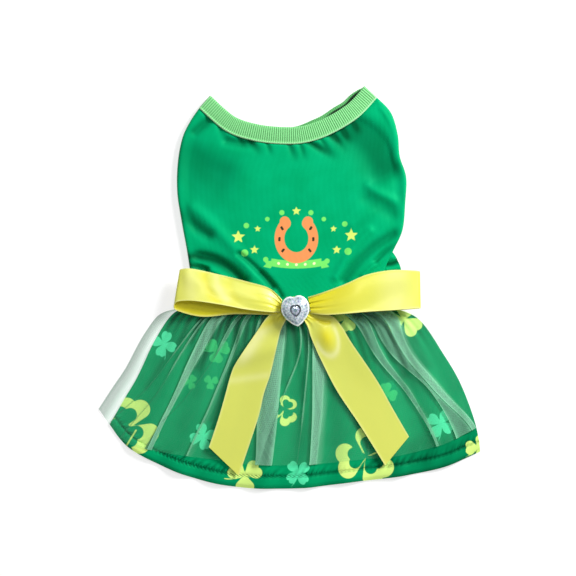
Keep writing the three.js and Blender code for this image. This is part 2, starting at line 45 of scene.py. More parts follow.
# Camera
# A long lens high over the dress looks straight down, so that 0.62 mm of cloth fill one of the
# picture's 576 pixels. Lengths below are millimetres, on the sheet's own centre lines.
PIXEL = 0.62
PICTURE = 576
CLOTH_HEIGHT = 5.0
DRESS_MIDDLE = np.array([1.2403, 1.0181, 0.0])
camera_data = bpy.data.cameras.new("camera")
camera_data.lens = 110
camera_data.sensor_width = 36
camera_data.clip_end = 5
camera = bpy.data.objects.new("camera", camera_data)
camera_height = PICTURE * PIXEL * camera_data.lens / camera_data.sensor_width + CLOTH_HEIGHT
camera.location = (Vector((PIXEL / 2, PIXEL / 2, camera_height)) - Vector(DRESS_MIDDLE)) / 1000
scene.collection.objects.link(camera)
scene.camera = camera
scene.view_settings.view_transform = "Standard"


# Light
# A large soft key lamp at the upper right, a weaker fill from the left, and a bright pale room.
def area_lamp(name, place, size, watts):
    """A square lamp that points at the dress."""
    data = bpy.data.lights.new(name, "AREA")
    data.size = size
    data.energy = watts
    lamp = bpy.data.objects.new(name, data)
    lamp.location = place
    lamp.rotation_euler = (-Vector(place)).to_track_quat("-Z", "Y").to_euler()
    scene.collection.objects.link(lamp)


area_lamp("key", (0.8, 0.62, 0.72), 0.4, 22.5)
area_lamp("fill", (-0.9, 0.3, 0.8), 0.8, 1.0)
area_lamp("top", (0.1, 0.5, 1.3), 0.3, 4.5)
room = bpy.data.worlds.new("room")
room.use_nodes = True
background = room.node_tree.nodes["Background"].inputs
background["Color"].default_value = (1.0, 1.0, 1.0, 1.0)
background["Strength"].default_value = 0.29
scene.world = room


# Floor
# A plain white light board, a hair under the cloth. Its own weak glow keeps the shadows on it faint.
def srgb(code):
    """The linear colour of an sRGB hex code."""
    parts = [int(code[i : i + 2], 16) / 255 for i in (1, 3, 5)]
    return tuple(p / 12.92 if p < 0.04045 else ((p + 0.055) / 1.055) ** 2.4 for p in parts) + (1.0,)


def new_material(name):
    """An empty node material and the tree that it is drawn with."""
    material = bpy.data.materials.new(name)
    material.use_nodes = True
    material.node_tree.nodes.clear()
    return material, material.node_tree


def add_node(tree, kind, inputs=None, **settings):
    """Adds a node with its settings, and fills or links its inputs."""
    made = tree.nodes.new(kind)
    for key, value in settings.items():
        setattr(made, key, value)
    for key, value in (inputs or {}).items():
        if isinstance(value, bpy.types.NodeSocket):
            tree.links.new(value, made.inputs[key])
        else:
            made.inputs[key].default_value = value
    return made


def surface(tree, inputs):
    """Ends a material in the main surface shader."""
    shader = add_node(tree, "ShaderNodeBsdfPrincipled", inputs)
    add_node(tree, "ShaderNodeOutputMaterial", {"Surface": shader.outputs["BSDF"]})


FLOOR_WIDE = 12
FLOOR_HEIGHT = -0.0003
board, tree = new_material("painted white board")
surface(tree, {
    "Base Color": srgb("#a2a2a2"),
    "Roughness": 0.8,
    "Specular IOR Level": 0.1,
    "Emission Color": srgb("#ffffff"),
    "Emission Strength": 0.66,
})
bpy.ops.mesh.primitive_plane_add(size=FLOOR_WIDE, location=(0, 0, 0))
floor = bpy.context.object
floor.name = "floor"
for corner in floor.data.vertices:
    corner.co.z = FLOOR_HEIGHT
floor.data.materials.append(board)


# Bodice back
# The upper half of a sleeveless bodice, cut in one from smooth polyester jersey and printed in the
# middle. Its sides roll under the dress and are sewn to the belly panel there.
KNIT = 0.8
BODICE_LONG = 110
BODICE_TOP = 4.0
SWELL = 0.9
SWELL_REACH = 26
TURNED_UNDER = 4.0
UNDER_HEIGHT = 0.6
TUCK_RISE = 1.5
BELLY_TOP = 2.15
SEAM_GAP = 0.3
SMOOTH_UP_TO = 50
NECK_SEAM = [
    (-54.6, 112.5),
    (-38.1, 98.3),
    (-21.4, 92.3),
    (-3.7, 90.2),
    (11.5, 91.1),
    (27.0, 96.5),
    (43.3, 106.5),
    (55.2, 119.0),
]
BODICE_LEFT = [
    (-54.6, 112.5),
    (-60.5, 103.8),
    (-65.4, 93.3),
    (-68.2, 77.8),
    (-68.5, 59.8),
    (-65.7, 41.2),
    (-62.3, 22.6),
    (-60.1, 6.5),
    (-59.2, -10.8),
]
BODICE_RIGHT = [
    (55.2, 119.0),
    (64.2, 109.4),
    (68.5, 95.8),
    (69.8, 82.2),
    (73.8, 69.1),
    (73.2, 53.0),
    (71.5, 36.3),
    (65.4, 22.8),
    (59.8, 9.0),
    (59.8, -10.8),
]
WAIST = [(-59.2, -10.8), (-20.1, -13.3), (23.2, -13.3), (59.8, -10.8)]
# from x, from y, to x, to y, bowed sideways by, half width, height of the fold, and for a few wide
# folds another half width for their gentle side
BODICE_FOLDS = [
    (38.5, 104, 63.5, 75, -5.0, 5.5, -3.6, 15),
    (68.5, 77, 70.5, 55, 0, 3.5, -0.8),
    (34, 96, 56, 76, -2, 6, -1.2, 14),
    (58.6, 112, 69, 83.4, -2.6, 1.6, 2.3),
    (-49.3, 104.5, -58, 97.7, 0, 2.8, -2.2),
    (-37.5, 91.5, -24, 90.0, 0.5, 2.8, -1.7),
    (-67, 85, -42, 71, 1, 10, -2.6, 20),
    (-66.5, 46.5, -49.5, 33, 1, 3.4, -2.2),
    (-58.6, 50, -20.8, 8.4, -2, 4, 1.4),
    (-65, 19.5, -28, 4.5, -5.6, 3.1, -3.9),
    (-30, 21.4, -9.6, 0.9, -1, 1.9, -2.2),
    (-16, 10, -4, -5, -1, 1.7, -1.3),
    (-62, 15.2, -50.5, 11.8, 0, 1.9, -3.9),
    (-50, 12, -36, 5, -1, 1.6, 1.0),
    (66.6, 33.8, 35, 5.3, 3, 3.0, -1.9),
    (51, 35.6, 30, 7, 2, 2.8, 1.2),
    (64, 19.5, 47, 8, 1.5, 1.9, 1.3),
    (68, 27, 55, 17, 1, 1.8, -1.5),
    (49.3, 55.5, 64.5, 46.5, 0, 4.6, -1.3),
    (50, 64, 69.8, 53, 1, 3.2, 1.2),
    (40, 40, 56, 50, 0, 4, 0.8),
    (-20, 60, 10, 66, 3, 14, 0.5),
]
# from x, from y at the neck seam, to x, to y, half width, depth: puckers that die out downwards
NECK_PUCKERS = [
    (-22.5, 91.5, -17.5, 83, 1.7, 1.5),
    (-12.5, 89.5, -10, 82, 1.3, 1.2),
    (-30, 94, -26, 87, 1.6, 1.2),
    (1.2, 89, 5, 79, 1.7, 1.5),
    (8, 89, 11, 79, 1.4, 1.2),
    (14.5, 90, 30, 81, 1.9, 2.4),
    (21, 92, 27, 84, 1.3, 1.2),
    (25.7, 96, 33, 90, 1.5, 2.0),
    (34, 99, 38.8, 91, 1.6, 2.0),
    (29, 96, 36, 85, 1.3, 1.0),
    (41, 103, 45, 96, 1.6, 1.5),
    (-42, 99, -38, 92, 1.8, 1.2),
]


def smooth_rows(rows, step):
    """The row that lies that many rows down a table, on a smooth line through its rows."""
    padded = np.vstack([rows[:1], rows, rows[-1:]])
    first = np.minimum(step.astype(int), len(rows) - 2)
    part = (step - first)[..., None]
    before, start, end, after = (padded[first + k] for k in range(4))
    leave = (end - before) / 2
    arrive = (after - start) / 2
    cubic = (2 * start - 2 * end + leave + arrive) * part**3
    square = (3 * end - 3 * start - 2 * leave - arrive) * part**2
    return cubic + square + leave * part + start


def curve_through(rows):
    """The place along a smooth line through the points, by share of its length."""
    points = np.array(rows, float)
    last = len(points) - 1
    steps = np.linspace(0, 1, 201)
    line = smooth_rows(points, steps * last)
    lengths = np.concatenate([[0], np.cumsum(np.hypot(*np.diff(line, axis=0).T))])

    def at(share):
        step = np.interp(np.asarray(share, float) * lengths[-1], lengths, steps)
        return smooth_rows(points, step * last)

    return at


def patch_between(top, bottom, left, right):
    """The place at a share across and a share down, between four edges."""
    corners = [edge(share) for edge in (top, bottom) for share in (0.0, 1.0)]

    def at(across, down):
        a = np.asarray(across, float)[..., None]
        d = np.asarray(down, float)[..., None]
        ruled = top(across) * (1 - d) + bottom(across) * d + left(down) * (1 - a) + right(down) * a
        upper = corners[0] * (1 - a) + corners[1] * a
        lower = corners[2] * (1 - a) + corners[3] * a
        return ruled - upper * (1 - d) - lower * d

    return at


def ease(value, low, high):
    """Rises smoothly from 0 at low to 1 at high."""
    part = np.clip((value - low) / (high - low), 0, 1)
    return part * part * (3 - 2 * part)


def bell(distance, wide):
    """1 at no distance, fading over a half width."""
    return np.exp(-((distance / wide) ** 2))


def folds_at(folds, x, y):
    """The height that a table of folds adds at a place."""
    height = np.zeros_like(x)
    for from_x, from_y, to_x, to_y, bow, wide, high, *gentle in folds:
        run_x, run_y = to_x - from_x, to_y - from_y
        length = math.hypot(run_x, run_y)
        along = ((x - from_x) * run_x + (y - from_y) * run_y) / length**2
        inside = np.clip(along, 0, 1)
        offset = ((x - from_x) * run_y - (y - from_y) * run_x) / length
        sideways = offset - bow * 4 * inside * (1 - inside)
        wide_here = np.where(sideways > 0, gentle[0], wide) if gentle else wide
        height += high * bell(sideways, wide_here) * bell((along - inside) * length, wide)
    return height


def puckers_at(x, y):
    """The depth of the puckers that leave the neck seam, widest and shallowest at their far ends."""
    depth = np.zeros_like(x)
    for from_x, from_y, to_x, to_y, wide, deep in NECK_PUCKERS:
        run_x, run_y = to_x - from_x, to_y - from_y
        length = math.hypot(run_x, run_y)
        along = ((x - from_x) * run_x + (y - from_y) * run_y) / length**2
        sideways = ((x - from_x) * run_y - (y - from_y) * run_x) / length
        fade = ease(along, -0.5, 0.0) * (1 - ease(along, 0.1, 1.3))
        depth += deep * fade * bell(sideways, wide * (1 + 0.6 * np.clip(along, 0, 1)))
    return depth


def ripple(x, y, pitch, seed):
    """A soft uneven surface of about that pitch, between -1 and 1."""
    turns = np.random.default_rng(seed).uniform(0, 2 * math.pi, (6, 2))
    total = np.zeros_like(x)
    for turn, phase in turns:
        stretch = 2 * math.pi / (pitch * (1 + 0.35 * math.sin(3 * turn)))
        total += np.sin(stretch * (x * math.cos(turn) + y * math.sin(turn)) + phase)
    return total / 6


bodice_place = patch_between(
    curve_through(NECK_SEAM),
    curve_through(WAIST),
    curve_through(BODICE_LEFT),
    curve_through(BODICE_RIGHT),
)


def row_width(down):
    """How wide the bodice is at a share down."""
    left, right = (bodice_place(np.full_like(down, side), down) for side in (0, 1))
    return np.linalg.norm(left - right, axis=-1)


def bodice_height(across, down):
    """Height of the bodice's upper layer, away from its rolled sides."""
    from_edge = np.minimum(across, 1 - across) * row_width(down)
    swell = SWELL * ease(from_edge, 0, SWELL_REACH) * (1 - 0.6 * ease(down, 0.8, 1))
    x, y = np.moveaxis(bodice_place(across, down), -1, 0)
    folds = folds_at(BODICE_FOLDS, x, y) + 0.12 * ripple(x, y, 17, 3)
    return BODICE_TOP + ease(from_edge, 1, 9) * (swell + folds)


def under_height(is_right, down):
    """Height that the turned-under side lies at: the floor, or on the tuck of the belly panel."""
    return UNDER_HEIGHT + ease(down, 0.62, 0.69) * is_right * TUCK_RISE


def place_piece(name, mesh):
    """Puts a mesh in the scene as the one selected piece."""
    piece = bpy.data.objects.new(name, mesh)
    scene.collection.objects.link(piece)
    bpy.ops.object.select_all(action="DESELECT")
    piece.select_set(True)
    bpy.context.view_layer.objects.active = piece
    return piece


def make_piece(name, places, faces, uv, layers, thick=0.0):
    """A smooth piece from places in millimetres, with a flat map, named layers of values and a wall."""
    mesh = bpy.data.meshes.new(name)
    mesh.from_pydata(((places - DRESS_MIDDLE) / 1000).tolist(), [], faces)
    corners = np.empty(len(mesh.loops), dtype=int)
    mesh.loops.foreach_get("vertex_index", corners)
    mesh.uv_layers.new(name="cloth").data.foreach_set("uv", (uv.reshape(-1, 2)[corners] / 1000).ravel())
    for key, values in layers.items():
        mesh.attributes.new(key, "FLOAT", "POINT").data.foreach_set("value", values.ravel())
    piece = place_piece(name, mesh)
    if thick:
        wall = piece.modifiers.new("wall", "SOLIDIFY")
        wall.thickness = thick / 1000
        wall.offset = -1
        bpy.ops.object.modifier_apply(modifier="wall")
    bpy.ops.object.shade_smooth_by_angle(angle=math.radians(SMOOTH_UP_TO))
    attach(piece, "root")
    return piece


def make_cloth(name, points, thick, uv, layers, ring=False):
    """A sheet from a grid of outer points, given its thickness below them, with its own flat map."""
    rows, columns = points.shape[:2]
    index = np.arange(rows * columns).reshape(rows, columns)
    if ring:
        index = np.vstack([index, index[:1]])
    quads = np.stack([index[:-1, :-1], index[:-1, 1:], index[1:, 1:], index[1:, :-1]], -1).reshape(-1, 4)
    flat = points.reshape(-1, 3)
    top = quads[: len(quads) // 2] if ring else quads
    spans = flat[top[:, 2]] - flat[top[:, 0]], flat[top[:, 3]] - flat[top[:, 1]]
    if np.cross(*spans)[:, 2].sum() < 0:
        quads = quads[:, ::-1]
    return make_piece(name, flat, quads.tolist(), uv, layers, thick)


def lengths_along(points, axis):
    """Running length of a grid of points along its rows or columns."""
    steps = np.linalg.norm(np.diff(points, axis=axis), axis=-1)
    start = np.zeros_like(steps[:1]) if axis == 0 else np.zeros_like(steps[:, :1])
    return np.concatenate([start, np.cumsum(steps, axis=axis)], axis=axis)


def flat_map(points):
    """The cloth's own flat map: how far each point is along and down it."""
    return np.stack([lengths_along(points, 1), lengths_along(points, 0)], -1)


def turned(x, y, degrees):
    """A place turned about the middle."""
    angle = math.radians(degrees)
    return x * math.cos(angle) + y * math.sin(angle), y * math.cos(angle) - x * math.sin(angle)


def disc(x, y, radius):
    """Distance outside a disc, below nought inside it."""
    return np.hypot(x, y) - radius


def star(x, y, radius):
    """Distance outside a five-pointed star."""
    angle = np.mod(np.arctan2(x, y) + math.pi / 5, 2 * math.pi / 5) - math.pi / 5
    far = np.hypot(x, y)
    side, up = np.abs(far * np.sin(angle)), far * np.cos(angle)
    inner = np.array([0.42 * radius * math.sin(math.pi / 5), 0.42 * radius * math.cos(math.pi / 5)])
    edge = inner - np.array([0.0, radius])
    normal = np.array([-edge[1], edge[0]]) / np.hypot(*edge)
    return side * normal[0] + (up - radius) * normal[1]


def arc_band(x, y, radius, wide, gap_degrees):
    """Distance outside a band along a circle, open at the top by that angle each side."""
    angle = np.abs(np.arctan2(x, y))
    limit = math.radians(gap_degrees)
    end_x, end_y = radius * math.sin(limit), radius * math.cos(limit)
    round_part = np.abs(np.hypot(x, y) - radius) - wide / 2
    end_part = np.hypot(np.abs(x) - end_x, y - end_y) - wide / 2
    return np.where(angle > limit, round_part, end_part)


# The print in the middle of the back: a lucky horseshoe on a ribbon scroll, between two sprays of
# stars and dots. All places are from its middle, in millimetres.
PRINT_MIDDLE = (5.5, 29.0)
SHOE_RADIUS = 10.5
SHOE_WIDE = 6.0
SHOE_UP = 2
SHOE_SQUASH = 0.88
SHOE_GAP = 38
NAILS_AT = (58, 92, 128, 232, 268, 302)
# half width and half height
NAIL = (1.3, 0.75)
SCROLL = (15.5, 2.4)
SCROLL_DOWN = 14.2
SCROLL_BEND = 0.006
SCROLL_DOTS_APART = 5.5
# x, y and radius of a shoe heel on either side
HEEL = (7.2, 12.6, 3.1)
# the scroll's notched ends: how far out, how far down, half width and half height
SCROLL_END = (17.5, 1.6, 3.2, 2.2)
NOTCH_FROM = 18.6
# a distance that leaves a place unprinted
FAR = 9.0
# x, y, size
YELLOW_STARS = [
    (-36, 3, 4.4),
    (-26, -5, 3.0),
    (-24, 8, 2.3),
    (34, 4, 4.4),
    (25, -5, 3.0),
    (23, 8, 2.3),
    (0, 19, 3.0),
]
GREEN_DOTS = [
    (-31, 10, 1.7),
    (-32, -7, 2.2),
    (-19, -11, 1.6),
    (-18, 14, 1.4),
    (30, 11, 1.7),
    (32, -6, 2.2),
    (19, -12, 1.6),
    (17, 14, 1.4),
    (-9, 18, 1.6),
    (9, 18, 1.6),
]


def bodice_print(x, y):
    """Distance outside each colour of the print."""
    x, y = x - PRINT_MIDDLE[0], y - PRINT_MIDDLE[1]
    shoe = arc_band(x, (y - SHOE_UP) * SHOE_SQUASH, SHOE_RADIUS, SHOE_WIDE, SHOE_GAP)
    heels = [disc(x - side * HEEL[0], y - HEEL[1], HEEL[2]) for side in (-1, 1)]
    nails = []
    for degrees in NAILS_AT:
        angle = math.radians(degrees)
        hole_x, hole_y = SHOE_RADIUS * math.sin(angle), SHOE_UP + SHOE_RADIUS * math.cos(angle) / SHOE_SQUASH
        slot_x, slot_y = turned(x - hole_x, y - hole_y, degrees)
        nails.append(np.maximum(np.abs(slot_x) - NAIL[0], np.abs(slot_y) - NAIL[1]))
    scroll_y = y + SCROLL_DOWN - SCROLL_BEND * x**2
    scroll = np.maximum(np.abs(x) - SCROLL[0], np.abs(scroll_y) - SCROLL[1])
    end_x, end_y = np.abs(x) - SCROLL_END[0], np.abs(scroll_y + SCROLL_END[1])
    ends = np.maximum(np.abs(end_x) - SCROLL_END[2], end_y - SCROLL_END[3])
    ends = np.maximum(ends, -(end_y * 0.9 - np.abs(x) + NOTCH_FROM))
    ends = np.where(np.abs(x) > SCROLL[0], ends, FAR)
    dots = [disc(x - dot_x, y - dot_y, size) for dot_x, dot_y, size in GREEN_DOTS]
    stars = [star(x - star_x, y - star_y, size) for star_x, star_y, size in YELLOW_STARS]
    scroll_dots = [disc(x - dot * SCROLL_DOTS_APART, scroll_y, 0.9) for dot in range(-2, 3)]
    inks = {"orange": [shoe, *heels], "cream": scroll_dots, "light_green": [scroll, ends, *dots]}
    inks.update({"yellow": stars, "black": nails})
    return {key: np.minimum.reduce(shapes) for key, shapes in inks.items()}


def bodice_points(rows, columns, arc_steps):
    """Outer points of the bodice back, from one turned-under side over the top to the other."""
    down = np.linspace(0, 1, rows)
    width = row_width(down)

    def side(is_right):
        low = under_height(is_right, down)
        radius = (BODICE_TOP - low) / 2
        lanes = []
        for inwards, height in [(TURNED_UNDER, low)] + [
            (radius * (1 - math.cos(t)), low + radius * (1 + math.sin(t)))
            for t in np.linspace(-math.pi / 2, math.pi / 2, arc_steps)
        ]:
            share = inwards / width
            place = bodice_place(1 - share if is_right else share, down)
            lanes.append(np.column_stack([place, height]))
        return lanes

    start = (BODICE_TOP / 2 + 0.4) / width
    middle = []
    for step in np.linspace(0, 1, columns):
        across = start + (1 - 2 * start) * step
        middle.append(np.column_stack([bodice_place(across, down), bodice_height(across, down)]))
    return np.stack(side(0) + middle + side(1)[::-1], axis=1)


points = bodice_points(210, 190, 9)
points[..., 2] += KNIT / 2
x, y = points[..., 0], points[..., 1]
lane = np.arange(points.shape[1]) + 0.0
from_rim = np.minimum(lane, lane[::-1])[None, :]
on_top = ease(from_rim, 5, 10) * np.ones_like(x)
from_seam = np.linspace(0, 1, len(points))[:, None] * BODICE_LONG
puckered = puckers_at(x, y) * on_top
points[..., 2] -= 0.9 * bell(from_seam, 1.5) * on_top + 0.6 * puckered
# No fold sinks into the belly panel: the height flattens out softly above it.
clear = BELLY_TOP + 0.4 * np.logaddexp(0, (points[..., 2] - BELLY_TOP) / 0.4)
points[..., 2] += on_top * (clear - points[..., 2])
sunk = -folds_at([fold for fold in BODICE_FOLDS if fold[6] < 0 and len(fold) < 8], x, y)
low = -folds_at([fold for fold in BODICE_FOLDS if len(fold) == 8], x, y)
layers = {key: np.where(on_top > 0.1, far, FAR) for key, far in bodice_print(x, y).items()}
# Painted shade: the colour is darkened in the dips of the folds, in the neck puckers and in the wide gentle
# folds, fading out towards the rolled sides.
layers["painted_shade"] = np.clip(0.25 * sunk + 0.4 * puckered + 0.17 * low, 0, 1) * ease(from_rim, 2, 6)
bodice = make_cloth("bodice_back_cloth", points, KNIT, flat_map(points), layers)


def flat_uv(tree):
    """The place on the cloth's own flat map, in metres."""
    return add_node(tree, "ShaderNodeUVMap", uv_map="cloth").outputs["UV"]


def layer(tree, key):
    """The values of one of the mesh's named layers."""
    return add_node(tree, "ShaderNodeAttribute", attribute_name=key).outputs["Fac"]


def remap(tree, value, low, high, to_low=0.0, to_high=1.0):
    """A value carried from one range over to another, and held inside that."""
    ranges = {"From Min": low, "From Max": high, "To Min": to_low, "To Max": to_high}
    return add_node(tree, "ShaderNodeMapRange", {"Value": value, **ranges}).outputs["Result"]


def blend(tree, share, under, over, **settings):
    """A colour that share of the way from one to the other."""
    colours = {"Factor": share, 6: under, 7: over}
    return add_node(tree, "ShaderNodeMix", colours, data_type="RGBA", **settings).outputs[2]


def bands(tree, direction, scale, distortion, detail):
    """Straight soft bands over the cloth."""
    inputs = {"Vector": flat_uv(tree), "Scale": scale, "Distortion": distortion, "Detail": detail}
    return add_node(tree, "ShaderNodeTexWave", inputs, bands_direction=direction).outputs["Fac"]


def noise(tree, place, scale, detail):
    """Soft noise of that scale at a place."""
    inputs = {"Vector": place, "Scale": scale, "Detail": detail}
    return add_node(tree, "ShaderNodeTexNoise", inputs).outputs["Fac"]


def bumped(tree, height, strength, deep):
    """The surface's direction, tilted by a fine pattern."""
    bump = add_node(tree, "ShaderNodeBump", {"Height": height, "Strength": strength, "Distance": deep})
    return bump.outputs["Normal"]


def mottled(tree, scale, dark, light, painted_shade_colour):
    """A dye that wanders softly between two colours, with painted shade over it towards a third colour, as
    strong as the layer of painted shade.
    """
    shade = add_node(tree, "ShaderNodeValToRGB", {"Fac": noise(tree, flat_uv(tree), scale, 3.0)})
    for stop, place, code in zip(shade.color_ramp.elements, (0.3, 0.7), (dark, light)):
        stop.position = place
        stop.color = srgb(code)
    return blend(tree, layer(tree, "painted_shade"), shade.outputs["Color"], srgb(painted_shade_colour))


def inked(tree, colour, strongest, inks):
    """The cloth's colour under its inks, each inside the shapes of the layer of its name."""
    for key, code in inks.items():
        inside = remap(tree, layer(tree, key), 0.18, -0.18, 0.0, strongest)
        colour = blend(tree, inside, colour, srgb(code))
    return colour


# Smooth polyester jersey with a slight sheen. Its columns of stitches are about 0.6 mm apart, too fine
# to show, so a very faint 3.6 mm wave stands for them. The print is ink in the cloth, as matt as it.
# the scales of the wave texture, for that distance, and of the uneven dye
JERSEY_WAVES = 265 / 3
JERSEY_MOTTLE = 55.0
JERSEY_INKS = {
    "light_green": "#72d862",
    "orange": "#e88a52",
    "yellow": "#cfe468",
    "cream": "#ecdfb6",
    "black": "#16201a",
}
jersey, tree = new_material("green polyester jersey")
# The third colour is the painted shade of the folds and puckers.
colour = mottled(tree, JERSEY_MOTTLE, "#01935c", "#029f68", "#024a2a")
surface(tree, {
    "Base Color": inked(tree, colour, 0.96, JERSEY_INKS),
    "Roughness": 0.5,
    "Specular IOR Level": 0.28,
    "Specular Tint": srgb("#19d98a"),
    "Sheen Weight": 0.06,
    "Sheen Roughness": 0.4,
    "Sheen Tint": srgb("#20d090"),
    "Normal": bumped(tree, bands(tree, "X", JERSEY_WAVES, 0.4, 1.0), 0.12, 0.0002),
})
bodice.data.materials.append(jersey)
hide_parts("bodice_back")


# Belly panel
# The underside of the bodice, cut from the same jersey, with the two leg holes turned in and
# stitched. At the right of the waist it is gathered, and a puckered corner of it shows.
BELLY = 1.0
BELLY_INSET = TURNED_UNDER + 0.5
LEG_HEM = 0.25
# x, y and lean of each leg hole
LEG_HOLES = [(-31.0, 62.0, -0.22), (37.0, 62.0, 0.22)]
LEG_HALF = (14.0, 19.0)
TUCK = [(61.1, 27.0), (65.4, 22.6), (68.1, 18.4), (70.6, 11.8), (69.8, 4.0), (63.5, -7.8)]
CHEST_RISE = 4.6
NECK_SPAN = 114
neck_curve = curve_through(NECK_SEAM)


def neck_place(across, is_chest, outwards):
    """A place above the neck seam, further out on the chest half, which slides up at the right."""
    step = 0.002
    ahead, behind = neck_curve(np.clip(across + step, 0, 1)), neck_curve(np.clip(across - step, 0, 1))
    tangent = (ahead - behind) / np.linalg.norm(ahead - behind, axis=-1)[..., None]
    rise = CHEST_RISE * bell(across - 0.74, 0.15) * is_chest
    normal = np.stack([-tangent[..., 1], tangent[..., 0]], -1)
    return neck_curve(across) + normal * (rise + outwards)[..., None]


def leg_distance(x, y, hole):
    """Distance outside the edge of a leg hole, below nought inside it."""
    middle_x, middle_y, lean = hole
    lean_x, lean_y = turned(x - middle_x, y - middle_y, math.degrees(lean))
    ring = np.hypot(lean_x / LEG_HALF[0], lean_y / LEG_HALF[1])
    return (ring - 1) * 16


def belly_outline():
    """The cut edge of the belly panel: neck, right side, tuck and left side."""
    across = np.linspace(BELLY_INSET / NECK_SPAN, 1 - BELLY_INSET / NECK_SPAN, 40)
    edge = [neck_place(across, 1, np.zeros_like(across))]
    down = np.linspace(0.02, 16 / 24, 34)
    edge.append(bodice_place(1 - BELLY_INSET / row_width(down), down))
    edge.append(curve_through(TUCK)(np.linspace(0.02, 1, 24)))
    down = np.linspace(23 / 24, 0.02, 46)
    edge.append(bodice_place(BELLY_INSET / row_width(down), down))
    return np.vstack(edge)


def inside_outline(x, y, outline):
    """Whether each place lies inside a closed outline."""
    found = np.zeros(x.shape, bool)
    for (x0, y0), (x1, y1) in zip(outline, np.roll(outline, -1, axis=0)):
        crosses = (y0 > y) != (y1 > y)
        rise = y1 - y0 if y1 != y0 else 1e-9
        found ^= crosses & (x < (x1 - x0) * (y - y0) / rise + x0)
    return found


rings = [belly_outline()]
for hole_x, hole_y, lean in LEG_HOLES:
    turn = np.linspace(0, 2 * math.pi, 73)[:-1]
    ring_x, ring_y = turned(LEG_HALF[0] * np.cos(turn), LEG_HALF[1] * np.sin(turn), -math.degrees(lean))
    rings.append(np.column_stack([ring_x + hole_x, ring_y + hole_y]))


def on_panel(x, y):
    """Whether each place is inside the panel's edge and outside its leg holes."""
    found = inside_outline(x, y, rings[0])
    for ring in rings[1:]:
        found &= ~inside_outline(x, y, ring)
    return found


def even_spots(x_range, y_range, apart, gap):
    """Even spots on the panel that keep a gap from its edges."""
    x, y = np.meshgrid(np.arange(*x_range, apart), np.arange(*y_range, apart))
    clear = on_panel(x, y)
    for ring in rings:
        clear &= np.min(np.hypot(x[..., None] - ring[:, 0], y[..., None] - ring[:, 1]), axis=-1) > gap
    return np.column_stack([x[clear], y[clear]])


# Spots 2 mm apart fill the panel, and closer ones fill the corner that shows.
filling = [even_spots((-68, 72), (-10, 120), 2.0, 1.1), even_spots((60, 71), (8, 26), 0.8, 0.5)]
edges = []
start = 0
for ring in rings:
    edges += [(start + i, start + (i + 1) % len(ring)) for i in range(len(ring))]
    start += len(ring)
spots = [Vector(spot) for spot in np.vstack(rings + filling)]
flat_spots, _, triangles, *_ = delaunay_2d_cdt(spots, edges, [], 0, 1e-6)
flat = np.array([tuple(spot) for spot in flat_spots])
triangles = np.array([corners for corners in triangles if len(corners) == 3])
triangles = triangles[on_panel(*flat[triangles].mean(axis=1).T)]
# from x, from y, to x, to y, bow, half width, height of the puckers in the showing corner
PUCKERS = [
    (60, 20.5, 67, 19.0, 0, 1.4, 0.6),
    (59, 15.5, 68, 17, 1.2, 1.6, -1.1),
    (59, 12, 70, 13, 0, 1.4, 0.5),
]
x, y = flat.T
hem = LEG_HEM * sum(bell(leg_distance(x, y, hole) - 3.2, 1.6) for hole in LEG_HOLES)
puckered = 1.6 * ease(x, 57, 62) * ease(y, -4, 4)
in_corner = puckered > 0.01
pucker_height = folds_at(PUCKERS, x, y)
lift = BELLY + hem + puckered * 0.6 + pucker_height * in_corner
top = np.column_stack([flat, lift])
bottom = np.column_stack([flat, np.maximum(lift - BELLY - hem, 0)])
count = len(flat)
if np.cross(top[triangles[0, 1]] - top[triangles[0, 0]], top[triangles[0, 2]] - top[triangles[0, 0]])[2] < 0:
    triangles = triangles[:, ::-1]
directed = [edge for a, b, c in triangles.tolist() for edge in ((a, b), (b, c), (c, a))]
paired = set(directed)
faces = triangles.tolist() + (triangles[:, ::-1] + count).tolist()
faces += [(b, a, a + count, b + count) for a, b in directed if (b, a) not in paired]
layers = {key: np.full(2 * count, FAR) for key in JERSEY_INKS}
# Painted shade over the corner that shows, deeper in the valleys of its puckers.
layers["painted_shade"] = np.tile(np.clip(0.15 - 0.8 * pucker_height, 0, 1) * in_corner, 2)
belly = make_piece("bodice_belly_cloth", np.vstack([top, bottom]), faces, np.vstack([flat, flat]), layers)
belly.data.materials.append(jersey)
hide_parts("bodice_belly")


# Neck band
# One strip of cotton rib knit, folded in half along its length, joined into a ring and sewn around
# the neck. Its seam edge is a paler ridge, and its ribs run from the seam to the fold.
BAND_WIDE = 9.6
BAND_THICK = 1.4
BAND_WALL = 0.9
RIB_PITCH = 1.45
RIB_HIGH = 0.36
RIB_STEPS = 8
NECK_OPEN = 0.9
BAND_OVER = 0.7
WELT_WIDE = 0.11
NECK_LENGTH = 129.0
# where along the chest half the band stands further out or closer in: place, half width, by how much
BAND_OPENED = (0.925, 0.062, 2.1)
BAND_TIGHT = (0.715, 0.075, 1.8)
ribs = round(NECK_LENGTH / RIB_PITCH)
steps_each = RIB_STEPS * ribs
